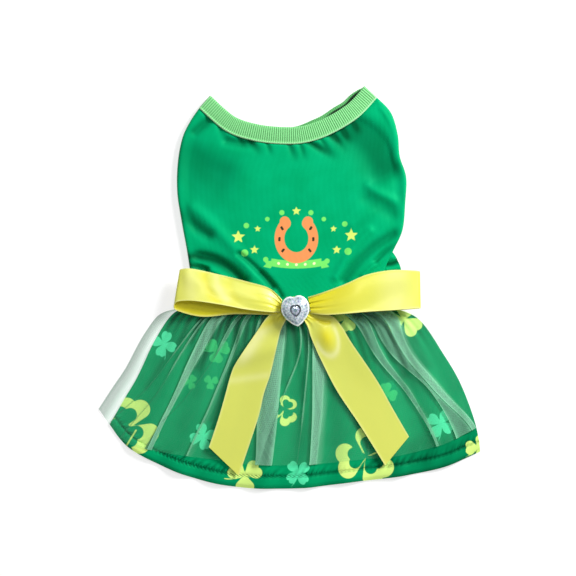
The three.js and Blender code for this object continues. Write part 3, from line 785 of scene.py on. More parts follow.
# share of the way from the seam to the fold, drop below the rib's crown in millimetres, rib share
BAND_PROFILE = [
    (0.0, 0.75, 0.0),
    (0.02, 0.25, 0.0),
    (0.06, 0.0, 0.0),
    (0.1, 0.12, 0.0),
    (0.13, 0.38, 0.2),
    (0.17, 0.25, 0.8),
    (0.25, 0.1, 1.0),
    (0.4, 0.0, 1.0),
    (0.6, 0.0, 1.0),
    (0.78, 0.04, 1.0),
    (0.83, 0.07, 1.0),
    (0.87, 0.11, 1.0),
    (0.91, 0.17, 1.0),
    (0.96, 0.38, 0.9),
    (1.0, 0.85, 0.6),
]
rows = []
opening_shade_rows = []
shares = np.array([share for share, _, _ in BAND_PROFILE])
steps = np.arange(steps_each) / steps_each
low = BAND_THICK / 2 + 0.2
radius = (BODICE_TOP - low) / 2
for is_chest in (0, 1):
    across = 1 - steps if is_chest else steps
    from_fold = np.minimum(across, 1 - across) * NECK_LENGTH
    round_off = np.sqrt(radius**2 - np.maximum(radius - from_fold, 0) ** 2)
    rib = 0.5 - 0.5 * np.cos(2 * math.pi * across * ribs)
    front = 0.3 + SWELL * ease(from_fold, 1, SWELL_REACH)
    opened = BAND_OPENED[2] * bell(across - BAND_OPENED[0], BAND_OPENED[1]) * (1 - ease(across, 0.97, 1))
    opened -= BAND_TIGHT[2] * bell(across - BAND_TIGHT[0], BAND_TIGHT[1])
    lanes = []
    for share, drop, ribbed in BAND_PROFILE:
        outwards = (SEAM_GAP + BAND_WIDE + BAND_OVER) * share - BAND_OVER + share * opened * is_chest
        thick = BAND_THICK / 2 - drop - RIB_HIGH * ribbed * (1 - rib)
        lifted = front + NECK_OPEN * np.sin(math.pi * across) * share
        under, over = low + radius - round_off - thick, low + radius + round_off + lifted + thick
        place = neck_place(across, is_chest, outwards)
        lanes.append(np.column_stack([place, under if is_chest else over]))
    rows.append(np.stack(lanes, axis=1))
    # Painted shade: where the chest half stands open at the right, the inside of the rear band is marked to
    # be painted dark, as if in the shade of the opening, up to a little short of its lit top edge.
    opening = is_chest * ease(across, 0.68, 0.78)[:, None]
    lit_from = 0.83 + 0.11 * ease(across, 0.8, 0.96)[:, None]
    opening_shade_rows.append(opening * (1 - ease(shares - lit_from, -0.05, 0.04)))
points = np.concatenate(rows)
points[..., 2] = np.maximum(points[..., 2], 0.0)
around = np.arange(len(points)) * (RIB_PITCH / RIB_STEPS)
cloth_map = np.stack(np.meshgrid(around, shares * BAND_WIDE, indexing="ij"), -1)
welt = np.tile(1 - np.minimum(1, shares / WELT_WIDE), (len(points), 1))
layers = {"welt": welt, "inside": np.concatenate(opening_shade_rows)}
band = make_cloth("neck_band_knit", points, BAND_WALL, cloth_map, layers, ring=True)


def calculate(tree, operation, *values, **settings):
    """The result of one sum on its values."""
    inputs = dict(enumerate(values))
    return add_node(tree, "ShaderNodeMath", inputs, operation=operation, **settings).outputs["Value"]


def wave_along(tree, pitch, operation):
    """A wave from -1 to 1 along the cloth, at that pitch in millimetres."""
    apart = add_node(tree, "ShaderNodeSeparateXYZ", {"Vector": flat_uv(tree)})
    phase = calculate(tree, "MULTIPLY", apart.outputs["X"], 2 * math.pi * 1000 / pitch)
    return calculate(tree, operation, phase)


# Cotton rib knit: matt, a little fuzzy, with painted shade down in the grooves, paler along the seam ridge,
# and painted dark as shade on the inside of the rear band where the neck stands open.
FUZZ = 1400.0
rib_knit, tree = new_material("pale green cotton rib knit")
groove = remap(tree, wave_along(tree, RIB_PITCH, "COSINE"), 1.0, -0.6)
colour = blend(tree, groove, srgb("#56a45f"), srgb("#84cb88"))
colour = blend(tree, layer(tree, "welt"), colour, srgb("#b2e6b0"))
colour = blend(tree, layer(tree, "inside"), colour, srgb("#0f2a16"))
surface(tree, {
    "Base Color": colour,
    "Roughness": 0.85,
    "Specular IOR Level": 0.2,
    "Sheen Weight": 0.1,
    "Normal": bumped(tree, noise(tree, flat_uv(tree), FUZZ, 2.0), 0.2, 0.0002),
})
band.data.materials.append(rib_knit)
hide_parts("neck_band")


# Printed skirt
# One layer of printed polyester, gathered to the waist from side to side. Its hem is turned up 7 mm
# and run round with one line of stitches, which draws the cloth into small puckers.
SKIRT = 0.7
SKIRT_WAIST = 3.4
SKIRT_LOW = 0.6
SKIRT_RUN = 235
SKIRT_LEFT = [
    (-59.2, -10.8),
    (-71.6, -15.8),
    (-82.8, -32.5),
    (-93.3, -54.6),
    (-101.4, -68.5),
    (-110.7, -84.6),
]
SKIRT_RIGHT = [
    (59.8, -10.8),
    (80.9, -18.3),
    (97.0, -40.6),
    (107.9, -59.6),
    (116.9, -84.0),
    (120.0, -101.4),
]
SKIRT_HEM = [
    (-110.7, -84.6),
    (-99.5, -98.3),
    (-77.8, -110.4),
    (-53.6, -119.2),
    (-26.4, -123.9),
    (7.8, -124.2),
    (38.8, -120.6),
    (72.8, -116.4),
    (98.3, -110.7),
    (120.0, -101.4),
]
# place across at the waist and at the hem, half width, height
SKIRT_WAVES = [
    (0.1, 0.1, 0.045, 2.2),
    (0.22, 0.21, 0.04, 2.6),
    (0.34, 0.32, 0.04, 2.3),
    (0.45, 0.43, 0.035, 2.6),
    (0.56, 0.54, 0.035, 2.2),
    (0.66, 0.65, 0.04, 2.5),
    (0.78, 0.77, 0.04, 2.6),
    (0.9, 0.9, 0.04, 2.2),
]
# Where the folds of the net and the ribbon's tails lie close over the skirt and keep the light out:
# from x, from y, to x, to y, bow, half width, how dark
SKIRT_SHADES = [
    (-55.5, -19.5, -87.7, -61.7, 1.5, 2.0, 0.35),
    (-36.9, -17.1, -55.5, -48.0, 0, 3.8, 0.6),
    (-50.5, -18.3, -60.5, -31.9, 0, 3.0, 0.4),
    (-23.3, -25.7, -33.2, -46.8, 0, 3.5, 0.5),
    (-35.6, -50.5, -47.4, -81.5, 0, 2.0, 0.45),
    (-0.9, -25.7, -1.9, -56.7, 0, 4.5, 0.45),
    (13.0, -27.0, 10.0, -70.0, 0, 2.0, 0.35),
    (51.2, -25.7, 62.3, -56.7, 1, 2.5, 0.45),
    (69.8, -25.7, 84.6, -48.0, -1, 4.0, 0.5),
    (57.4, -29.5, 72.2, -54.3, -1, 2.5, 0.5),
    (27.6, -61.7, 57.4, -108.8, 0, 1.9, 0.5),
]
HEM_TURNED = 7.0
HEM_DROP = 118.0
STITCHES_APART = 2.6
PLEATS_APART = 4.3

skirt_patch = patch_between(
    curve_through(WAIST),
    curve_through(SKIRT_HEM),
    curve_through(SKIRT_LEFT),
    curve_through(SKIRT_RIGHT),
)


def skirt_place(across, down):
    """A place on the skirt, carried straight on past its side edges for the net."""
    across, down = np.broadcast_arrays(np.asarray(across, float), np.asarray(down, float))
    place = skirt_patch(np.clip(across, 0, 1), down)
    for side, step, past in ((0.0, 0.04, np.maximum(-across, 0)), (1.0, -0.04, np.maximum(across - 1, 0))):
        edge = skirt_patch(np.full_like(down, side), down)
        inner = skirt_patch(np.full_like(down, side + step), down)
        place = place + (edge - inner) * (past / abs(step))[..., None]
    return place - np.stack([np.zeros_like(down), SEAM_GAP * (1 - down)], -1)


def waves_at(waves, across, down):
    """The height that a table of waves adds at a share across and a share down."""
    fade = 0.45 + 0.55 * ease(down, 0, 0.35)
    height = np.zeros_like(across)
    for at_waist, at_hem, wide, high in waves:
        height += fade * high * bell(across - at_waist - (at_hem - at_waist) * down, wide)
    return height


def gathers_at(across, down):
    """Fine gathers that leave the waist seam and die out down the skirt."""
    run = across * 2 * math.pi
    wave = np.sin(31 * run + 1.3 * np.sin(5 * run)) + 0.6 * np.sin(19 * run + 2.1)
    return 0.55 * wave * (1 - ease(down, 0.08, 0.55)) * ease(down, 0.0, 0.03)


def skirt_height(across, down):
    """Height of the skirt's middle: down from the waist seam to the surface, over its waves."""
    from_side = ease(np.minimum(across, 1 - across), 0, 0.08)
    held = 1 + (from_side - 1) * ease(down, 0, 0.25)
    slope = (SKIRT_WAIST - SKIRT_LOW) * (1 - ease(down, 0, 0.35))
    wavy = waves_at(SKIRT_WAVES, across, down) + gathers_at(across, down)
    return SKIRT_LOW + slope * held + wavy * from_side


# The skirt's own clover print. x, y, leaf length, turn in degrees, leaves, how narrow they are
FAINT_CLOVERS = [
    (-60.5, -58.0, 5.0, 50, 3, 1.3),
    (-47.5, -58.0, 5.0, 20, 3, 1.3),
    (-43.5, -38.5, 8.0, 20, 3, 1.15),
    (61.8, -65.0, 6.8, 100, 3, 1.15),
]
MINT_CLOVERS = [
    (-77.0, -34.5, 8.4, 70, 4, 1.6),
    (-52.5, -92.0, 8.6, 10, 4, 1.6),
    (6.5, -114.5, 8.4, 40, 4, 1.6),
    (95.0, -84.0, 9.0, 60, 4, 1.6),
]
# The lime ones have three leaves. x, y, leaf length, turn in degrees, how far the bare middle is
# shifted by x and y and its share of the size, and the stem's turn
LIME_CLOVERS = [
    (-97.6, -85.9, 17.8, 81, -4.6, -0.6, 0.74, None),
    (48.6, -105.0, 18.4, 70, 0.4, 1.0, 0.64, None),
    (72.6, -19.0, 12.0, 318, 0, 0, 0, 180),
    (36.5, -18.0, 9.0, 40, 0, 0, 0, 180),
    (-2.5, -76.0, 9.5, 60, 0.8, 1.0, 0.66, 180),
    (-26.5, -116.0, 11.0, 30, 0, 0, 0, 180),
    (118.5, -99.0, 8.0, 60, 0, 0, 0, 180),
]
# The clover at the left corner: a disc of cloth that stays bare, x, y and radius, and its own straight
# stem, x, y, turn in degrees, half width and half length
CORNER_BARE = (-107.0, -91.5, 10.4)
CORNER_STEM = (-97.0, -92.7, -31.8, 0.5, 5.9)


def heart(x, y, length, narrow):
    """Distance outside a heart whose point is at nought and whose lobes are up."""
    side, up = np.abs(x) / length * narrow, y / length * 1.1
    lobe = np.hypot(side - 0.25, up - 0.75) - math.sqrt(2) / 4
    fold = 0.5 * np.maximum(side + up, 0)
    corner = np.sqrt(np.minimum(side**2 + (up - 1) ** 2, (side - fold) ** 2 + (up - fold) ** 2))
    return np.where(side + up > 1, lobe, corner * np.sign(side - up)) * length / 1.1


def clover(x, y, length, degrees, leaves, narrow, stem_turn=180):
    """Distance outside a clover leaf of that many hearts and a short curved stem."""
    shape = np.full_like(x, FAR)
    for leaf in range(leaves):
        leaf_x, leaf_y = turned(x, y, degrees - 90 + leaf * 360 / leaves)
        shape = np.minimum(shape, heart(leaf_x, leaf_y + 0.4, length, narrow))
    if stem_turn is None:
        return shape
    stem_x, stem_y = turned(x, y, degrees - 90 + stem_turn + 45 * (leaves == 4))
    stem_x = stem_x - 0.35 * stem_y**2 / length
    stem = np.maximum(np.abs(stem_x) - 0.035 * length, np.abs(stem_y - length * 0.55) - length * 0.55)
    return np.minimum(shape, stem)


across, down = np.meshgrid(np.linspace(0, 1, 330), np.linspace(0, 1, 145))
place = skirt_place(across, down)
x, y = place[..., 0], place[..., 1]
up_from_hem = (1 - down) * HEM_DROP
above = up_from_hem - HEM_TURNED
run = across * SKIRT_RUN
turned_up = 0.5 * (1 - ease(above, -0.4, 0.4))
stitched = -0.7 * bell(above, 0.9) * (0.75 + 0.25 * np.cos(2 * math.pi * run / STITCHES_APART))
close = 2 * math.pi * (run - 0.7 * above) / PLEATS_APART + 3.6 * np.sin(run / 11) + 1.7 * np.sin(run / 4.1)
pucker = (np.sin(close) + 0.6 * np.sin(close * 0.43 + 1)) * (0.65 + 0.35 * np.sin(run / 9.3 + 1))
puckers = 0.6 * pucker * bell(above - 1.6, 2.2) * ease(up_from_hem, 1.5, 5) - 0.9 * bell(up_from_hem, 1.3)
draped = 0.7 * ripple(x, y * 0.4, 12, 8) * (1 - ease(up_from_hem, 6, 22))
height = skirt_height(across, down) + turned_up + stitched + puckers + draped + 0.2 * ripple(x, y, 13, 5)
points = np.dstack([place, np.maximum(height, 0.5) + SKIRT / 2])


def clovers(table):
    """Distance outside the nearest clover of a table."""
    return np.minimum.reduce([clover(x - at_x, y - at_y, *shape) for at_x, at_y, *shape in table])


lime = []
for at_x, at_y, length, degrees, inner_x, inner_y, bare, stem_turn in LIME_CLOVERS:
    from_x, from_y = x - at_x, y - at_y
    leaves = clover(from_x, from_y, length, degrees, 3, 1.02 if bare else 1.15, None)
    if bare:
        inner = clover(from_x - inner_x, from_y - inner_y, length * bare, degrees, 3, 1.08, None)
        leaves = np.maximum(leaves, -inner)
    lime.append(leaves)
    if stem_turn:
        lime.append(clover(from_x, from_y, length, degrees, 0, 1.0, stem_turn))
bare_x, bare_y, bare_radius = CORNER_BARE
lime = np.maximum(np.minimum.reduce(lime), -disc(x - bare_x, y - bare_y, bare_radius))
stem_x, stem_y = turned(x - CORNER_STEM[0], y - CORNER_STEM[1], CORNER_STEM[2])
lime = np.minimum(lime, np.maximum(np.abs(stem_x) - CORNER_STEM[3], np.abs(stem_y) - CORNER_STEM[4]))
# Painted shade: the colour is darkened between the gathers under the bow, where the net and tails lie close
# over the skirt, in the valleys of the hem's puckers, along the stitch line and the hem's edge, and over
# broad folds at the right of the hem.
gathered = 0.5 - 0.9 * gathers_at(across, down) - 0.16 * waves_at(SKIRT_WAVES, across, down)
painted_shade = np.clip(gathered, 0, 1) * (1 - ease(down, 0.1, 0.42)) * ease(down, 0.0, 0.02)
painted_shade += folds_at(SKIRT_SHADES, x, y)
painted_shade += 0.3 * np.clip(-pucker, 0, 1) * bell(above - 1.8, 2.4)
painted_shade += 0.45 * bell(above - 0.6, 0.7) + 0.3 * bell(up_from_hem, 1.2)
to_right = ease(across, 0.7, 0.8) * (1 - ease(up_from_hem, 12, 26))
painted_shade += to_right * (0.36 + 0.25 * ripple(x, y, 9, 3))
layers = {
    "mint": clovers(MINT_CLOVERS),
    "faint": clovers(FAINT_CLOVERS),
    "lime": lime,
    # The thread and ticks layers mark painted shade along the stitches and in the little pleats above them.
    "thread": bell(above + 0.1, 0.8) * ease(across, 0.09, 0.17),
    "painted_shade": np.clip(painted_shade, 0, 1),
    "ticks": bell(above - 1.5, 1.7) * (0.55 + 0.45 * np.sin(run / 7 + 2 * np.sin(run / 17))),
}
skirt = make_cloth("skirt_print_cloth", points, SKIRT, flat_map(points), layers)


def strokes(tree, key, pitch, low, high, under):
    """Dark strokes of painted shade along the cloth at that pitch, as strong as the named layer."""
    stroke = remap(tree, wave_along(tree, pitch, "SINE"), low, high, 0.0, 0.85)
    return blend(tree, calculate(tree, "MULTIPLY", stroke, layer(tree, key)), under, srgb(PAINTED_SHADE_GREEN))


# Printed polyester: flatter and a touch deeper in colour than the jersey. Its plain weave is drawn
# 1.4 mm apart, much coarser than the real 0.3 mm, and faint. The stitches of the hem lie 2.7 mm
# apart, and the close little pleats that they draw the cloth up into are 1.9 mm apart; both are
# painted as dark strokes of shade, and the folds and gathers are painted darker with shade too.
# the scales of the wave texture, for the weave's distance, and of the uneven dye
WEAVE_WAVES = 1590 / 7
PRINTED_MOTTLE = 45.0
THREADS_APART = 2.7
TICKS_APART = 1.9
# the colour of the painted shade in the skirt's folds, stitches and little pleats
PAINTED_SHADE_GREEN = "#023a22"
printed, tree = new_material("green printed polyester")
colour = mottled(tree, PRINTED_MOTTLE, "#018452", "#038f5a", PAINTED_SHADE_GREEN)
colour = strokes(tree, "ticks", TICKS_APART, -0.1, 0.9, colour)
colour = inked(tree, colour, 0.97, {"mint": "#4fd9a0", "faint": "#35b46a", "lime": "#cdea7c"})
colour = strokes(tree, "thread", THREADS_APART, -0.5, 0.1, colour)
weave = calculate(tree, "ADD", *(bands(tree, way, WEAVE_WAVES, 0.3, 2.0) for way in "XY"))
surface(tree, {
    "Base Color": colour,
    "Roughness": 0.5,
    "Specular IOR Level": 0.25,
    "Specular Tint": srgb("#19d98a"),
    "Sheen Weight": 0.05,
    "Sheen Tint": srgb("#20d090"),
    "Normal": bumped(tree, weave, 0.1, 0.0002),
})
skirt.data.materials.append(printed)
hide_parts("skirt_print")


# Net overskirt
# One layer of soft tulle, gathered so tightly at the waist that it falls into flattened pleats. Where
# a pleat folds over itself three layers lie together and look paler, with a bright line at each fold.
NET_HEM = [
    (0.0, 1.0),
    (0.066, 0.985),
    (0.132, 0.945),
    (0.224, 0.9),
    (0.3, 0.88),
    (0.5, 0.883),
    (0.78, 0.895),
    (0.94, 0.88),
    (1.0, 0.87),
]
NET_PAST_EDGE = 0.048
# A pleat's left fold and right fold, each as a share across at four rows from the waist down to the
# hem, then how dense its layers look, and the share down at which it opens out again
NET_PLEATS = [
    ((0.140, 0.094, 0.040, -0.006), (0.150, 0.098, 0.044, -0.002), 0.3, 0.5),
    ((0.152, 0.114, 0.077, 0.043), (0.162, 0.119, 0.081, 0.047), 0.3, 0.6),
    ((0.168, 0.149, 0.129, 0.121), (0.222, 0.184, 0.143, 0.132), 1.0, 1.2),
    ((0.272, 0.230, 0.160, 0.090), (0.292, 0.241, 0.165, 0.095), 0.5, 0.42),
    ((0.305, 0.283, 0.245, 0.222), (0.328, 0.294, 0.250, 0.226), 0.5, 1.2),
    ((0.375, 0.350, 0.335, 0.330), (0.390, 0.356, 0.339, 0.334), 0.3, 0.5),
    ((0.440, 0.405, 0.388, 0.404), (0.492, 0.468, 0.450, 0.448), 1.0, 1.2),
    ((0.538, 0.525, 0.448, 0.410), (0.548, 0.530, 0.453, 0.415), 0.3, 0.66),
    ((0.572, 0.556, 0.524, 0.510), (0.580, 0.560, 0.528, 0.514), 0.3, 0.86),
    ((0.588, 0.572, 0.552, 0.547), (0.640, 0.616, 0.583, 0.566), 0.95, 1.2),
    ((0.690, 0.690, 0.700, 0.700), (0.700, 0.694, 0.704, 0.704), 0.3, 0.5),
    ((0.762, 0.772, 0.838, 0.884), (0.838, 0.807, 0.853, 0.890), 0.45, 1.2),
    ((0.845, 0.825, 0.904, 0.940), (0.900, 0.870, 0.912, 0.984), 0.5, 1.2),
    ((0.905, 0.872, 0.915, 0.986), (0.985, 0.905, 0.938, 0.999), 1.0, 1.2),
]
LAYER = 0.28
TULLE = 0.12
NET_ROWS = 80
ABOVE_SKIRT = 1.15


def net_hem_at(across):
    """How far down the skirt the net's hem hangs."""
    shares, drops = np.array(NET_HEM).T
    return np.interp(np.clip(across, 0, 1), shares, drops)


def even_rows(table, steps):
    """Rows of a table, with smooth rows between them."""
    return smooth_rows(np.array(table), np.linspace(0, 1, steps) * (len(table) - 1))


LEFT_FOLDS = even_rows(np.array([pleat[0] for pleat in NET_PLEATS]).T, NET_ROWS)
RIGHT_FOLDS = even_rows(np.array([pleat[1] for pleat in NET_PLEATS]).T, NET_ROWS)


def net_line(row):
    """Share across, layer, nearness to a fold, and density, point by point along a row of the net."""
    down = row / (NET_ROWS - 1)
    sides = float(ease(np.array(down), 0, 0.2))
    here = -NET_PAST_EDGE * sides
    line = [(here, 0.0, 0.5, 0.0)]
    under_to, under = here, 0.0

    def forward(to):
        """Carries the net on to the right, over the pleat that it has just left."""
        covered = min(under_to, to)
        if covered > here:
            for t in np.linspace(0, 1, 5)[1:]:
                line.append((here + (covered - here) * t, 1.0, 0.0, under))
        start = max(covered, here)
        for t in np.linspace(0, 1, 8)[1:]:
            lifted = (1 - ease(np.array(t), 0, 0.6)) if under_to > -1 and len(line) > 12 else 0.0
            line.append((start + (to - start) * max(t, 1e-3), float(lifted), 0.0, 0.0 if t > 0.02 else under))

    for pleat, left, right in zip(NET_PLEATS, LEFT_FOLDS[row], RIGHT_FOLDS[row]):
        dense, opens = pleat[2:]
        shut = float(1 - ease(np.array(down), opens - 0.16, opens))
        right = max(right, here + 0.004)
        left = right - max((right - left) * (0.3 + 0.7 * shut), 0.002)
        forward(right)
        for t in np.linspace(0, 1, 9):
            edge = max(bell(t, 0.1), bell(1 - t, 0.1))
            narrow = 1 if right - left < 0.012 else 0
            line.append((right + (left - right) * t, t, max(edge, 0.6 * narrow) * shut, dense * shut))
        here, under_to, under = left, right, dense * shut
    rim = 0.016 * bell(down - 0.2, 0.16)
    forward(1 + rim)
    return np.array(line).T


rows = []
marks = []
for row in range(NET_ROWS):
    across, lying, near, dense = net_line(row)
    down = row / (NET_ROWS - 1) * net_hem_at(across)
    past = ease(-across, NET_PAST_EDGE * 0.12, NET_PAST_EDGE * 0.7)
    on_skirt = skirt_height(np.clip(across, 0, 1), down) + ABOVE_SKIRT
    run = across * 2 * math.pi
    billow = 0.3 * (1 + np.sin(23 * run + 2 * np.sin(7 * run))) * ease(down, 0.0, 0.3)
    layered = LAYER * 2 * lying
    height = (on_skirt + billow + layered) * (1 - past) + (SKIRT_LOW + layered) * past
    rows.append(np.column_stack([skirt_place(across, down), height]))
    marks.append([near, dense, past])
net_points = np.stack(rows)
layers = dict(zip(("fold", "dense", "doubled"), np.stack(marks, axis=1)))
net = make_cloth("skirt_net_tulle", net_points, TULLE, flat_map(net_points), layers)


def drawn_out(tree, scales):
    """Noise that is stretched out on the cloth: how fine it is along and down it."""
    stretched = add_node(tree, "ShaderNodeMapping", {"Vector": flat_uv(tree), "Scale": scales})
    return noise(tree, stretched.outputs["Vector"], 1.0, 2.0)


# Tulle: a fine hexagonal net of thread. Its 1 mm holes hardly show, so a faint 1.2 mm cell pattern
# thins and thickens a sheet that lets most light through. Folded thread at a crease is denser.
CELLS = 830.0
tulle, tree = new_material("pale green tulle net")
cells = add_node(
    tree,
    "ShaderNodeTexVoronoi",
    {"Vector": flat_uv(tree), "Scale": CELLS, "Randomness": 0.25},
    feature="DISTANCE_TO_EDGE",
)
thread = remap(tree, cells.outputs["Distance"], 0.05, 0.3, 1.5, 0.7)
uneven = remap(tree, drawn_out(tree, (420.0, 9.0, 1.0)), 0.3, 0.7, 0.8, 1.2)
fold, dense, doubled = (layer(tree, key) for key in ("fold", "dense", "doubled"))
one_sheet = remap(tree, dense, 0.0, 1.0, 0.07, 0.25)
cover = calculate(tree, "MULTIPLY", calculate(tree, "MULTIPLY", thread, uneven), one_sheet)
cover = calculate(tree, "MULTIPLY_ADD", doubled, 0.3, cover)
cover = calculate(tree, "MULTIPLY_ADD", fold, 0.4, cover, use_clamp=True)
colour = blend(tree, calculate(tree, "MAXIMUM", fold, dense), srgb("#6fc79c"), srgb("#a6e8c6"))
colour = blend(tree, doubled, colour, srgb("#9db3a6"))
thread_face = {"Base Color": colour, "Roughness": 0.7, "Specular IOR Level": 0.1}
front = add_node(tree, "ShaderNodeBsdfPrincipled", thread_face).outputs["BSDF"]
glow = add_node(tree, "ShaderNodeBsdfTranslucent", {"Color": colour}).outputs["BSDF"]
lit = add_node(tree, "ShaderNodeMixShader", {0: 0.4, 1: front, 2: glow}).outputs["Shader"]
clear = add_node(tree, "ShaderNodeBsdfTransparent").outputs["BSDF"]
shader = add_node(tree, "ShaderNodeMixShader", {0: cover, 1: clear, 2: lit})
add_node(tree, "ShaderNodeOutputMaterial", {"Surface": shader.outputs["Shader"]})
net.data.materials.append(tulle)
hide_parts("skirt_net")


# Bow loops
# Two loops of 25 mm polyester satin ribbon, laid to the left and the right of the knot. Each runs
# out along the top, folds round and comes back underneath. The selvedges are a fine pale cord.
RIBBON = 0.45
# the ribbon's upper edge x, y, z and its lower edge x, y, z, from the knot round to the knot
LEFT_LOOP = [
    (-3.4, -7.4, 9.0, -4.6, -14.8, 9.4),
    (-10.9, 0.0, 10.6, -12.1, -14.4, 12.2),
    (-24.5, 4.2, 11.3, -25.7, -12.8, 14.3),
    (-41.9, 8.6, 11.3, -41.2, -9.8, 15.1),
    (-58.0, 12.1, 10.7, -58.0, -7.5, 14.5),
    (-64.8, 12.2, 10.0, -67.9, -8.1, 13.2),
    (-66.7, 10.9, 9.0, -70.2, -11.2, 10.8),
    (-64.2, 7.8, 8.1, -67.6, -13.9, 8.5),
    (-51.1, 4.6, 7.9, -52.4, -17.4, 7.9),
    (-29.5, -0.3, 7.9, -31.9, -15.8, 7.9),
    (-4.6, -7.8, 8.2, -6.5, -16.4, 8.2),
]
RIGHT_LOOP = [
    (12.7, -5.6, 9.0, 14.6, -15.5, 9.4),
    (23.2, -1.9, 11.2, 23.9, -16.2, 12.4),
    (35.6, 2.8, 12.7, 36.3, -15.4, 14.5),
    (48.7, 8.5, 13.2, 49.3, -14.2, 15.2),
    (63.5, 11.3, 13.0, 64.8, -13.2, 14.8),
    (77.2, 11.2, 12.2, 77.8, -12.3, 13.4),
    (81.8, 10.5, 10.2, 82.2, -12.3, 10.8),
    (77.8, 9.3, 8.4, 78.4, -12.7, 8.4),
    (60.4, 8.4, 7.9, 60.4, -13.9, 7.9),
    (35.6, 1.6, 7.9, 35.6, -15.5, 7.9),
    (14.0, -6.5, 8.2, 15.2, -15.8, 8.2),
]
# soft dents across the left loop, sunk and painted with golden shade, and the swells beside them, painted
# paler as highlights; both given as folds of the bodice are given
LOOP_DENTS = [
    (-51.5, 9.0, -43.5, -7.5, 2.0, 2.6, 0.5),
    (-36.0, 5.0, -31.5, -8.0, 1.5, 3.0, 0.3),
    (-9.5, -2.5, -4.5, -9.5, 0.5, 1.6, 0.6),
]
LOOP_PALE = [
    (-59.5, 9.5, -58.5, -5.0, 0.5, 4.0, 0.3),
    (-44.0, 7.0, -37.5, -6.5, 1.5, 2.4, 0.5),
]


# Satin: long floats of filament that run along the ribbon give a broad soft gloss. In its folds and near the
# knot the yellow lights itself and looks golden, and under the loops it lies in shade, so these places are
# painted a deeper, warmer gold as painted light and painted shade.
satin, tree = new_material("yellow polyester satin ribbon")
colour = blend(tree, layer(tree, "painted_gold"), srgb("#dee56d"), srgb("#ebe330"))
gloss = add_node(
    tree,
    "ShaderNodeBsdfPrincipled",
    {
        # The pale selvedge cord and the painted highlights share one paler colour.
        "Base Color": blend(tree, layer(tree, "edge"), colour, srgb("#f4f7b0")),
        "Roughness": 0.3,
        "Specular IOR Level": 0.5,
        "Specular Tint": srgb("#fffbd0"),
        "Anisotropic": 0.4,
        "Normal": bumped(tree, drawn_out(tree, (60.0, 1600.0, 1.0)), 0.12, 0.0001),
    },
).outputs["BSDF"]
glow = add_node(tree, "ShaderNodeBsdfTranslucent", {"Color": srgb("#f3e640")}).outputs["BSDF"]
shader = add_node(tree, "ShaderNodeMixShader", {0: 0.3, 1: gloss, 2: glow})
add_node(tree, "ShaderNodeOutputMaterial", {"Surface": shader.outputs["Shader"]})


def ribbon_piece(name, points, painted_gold, pale):
    """A ribbon from rows of points across it, with its pale selvedges, its painted golden shade and its
    painted highlights marked.
    """
    across = lengths_along(points, 1)
    to_edge = np.minimum(across, across[:, -1:] - across)
    points[..., 2] += 0.12 * bell(to_edge - 0.3, 0.5)
    flat = np.stack([lengths_along(points, 0), across], -1)
    # One paler layer holds the real pale selvedge cord and the painted highlights together.
    layers = {"painted_gold": painted_gold, "edge": np.maximum(bell(to_edge, 0.75) * 0.6, pale)}
    piece = make_cloth(name, points, RIBBON, flat, layers)
    piece.data.materials.append(satin)
    return piece


LOOP_STEPS, LOOP_LANES = 150, 42
# the painted highlight on the left loop: x, y, turn in degrees, half length and half width
GLINT = (-11, -3.5, -35, 6, 2.6)
# side, its table, where its ripples start, how far the golden shade reaches and how strong it is
for side, table, start, reach, strong in (
    ("left", LEFT_LOOP, 2.4, 0.55, 0.5),
    ("right", RIGHT_LOOP, 0.6, 0.95, 0.95),
):
    rows = even_rows(table, LOOP_STEPS)
    lane = np.linspace(0, 1, LOOP_LANES)[None, :] * np.ones((LOOP_STEPS, 1))
    along = np.linspace(-1, 1, LOOP_STEPS)[:, None] * np.ones((1, LOOP_LANES))
    points = rows[:, None, :3] * (1 - lane[..., None]) + rows[:, None, 3:] * lane[..., None]
    at_knot = np.abs(along) ** 7
    free = ease(1 - np.abs(along), 0, 0.35)
    gather = np.cos(7 * math.pi * lane + 0.6) + 0.5 * np.cos(13 * math.pi * lane)
    front = ease(-along, -0.05, 0.15)
    ripples = 0.9 * np.sin(11 * along + 2.2 * lane + start)
    soft = 0.5 * np.sin(2.4 * math.pi * lane + 5 * along + 0.5)
    points[..., 2] += 0.5 * at_knot * gather + 0.5 * front * free * (soft + ripples)
    # Painted golden shade: on the loop's underside, in its gathers at the knot and along its front towards
    # the knot.
    back = 1 - ease(-along, -0.2, -0.08)
    golden = ease(-along, 1 - reach, 1) * front * (0.75 + 0.25 * np.cos(3 * lane))
    painted_gold = np.clip(0.1 + 0.6 * at_knot * (0.6 - 0.5 * gather) + 0.95 * back + strong * golden, 0, 1)
    x, y = points[..., 0], points[..., 1]
    if side == "left":
        # Painted highlights on the left loop: the bright spot, a faint pale stretch towards its outer end and
        # the pale swells; its dents get painted golden shade.
        lit_x, lit_y = turned(x - GLINT[0], y - GLINT[1], GLINT[2])
        pale = 0.8 * np.exp(-((lit_x / GLINT[3]) ** 2) - (lit_y / GLINT[4]) ** 2)
        pale += 0.1 * ease(-x, 40, 62) + folds_at(LOOP_PALE, x, y)
        dents = folds_at(LOOP_DENTS, x, y) * front
        points[..., 2] -= 0.5 * dents
        painted_gold = np.clip(painted_gold + dents, 0, 1)
    else:
        # A painted highlight towards the outer end of the right loop.
        pale = 0.3 * ease(x, 50, 66)
    loop = ribbon_piece("bow_loop_%s_ribbon" % side, points, painted_gold, pale * front)
    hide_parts("bow_loop_%s" % side)


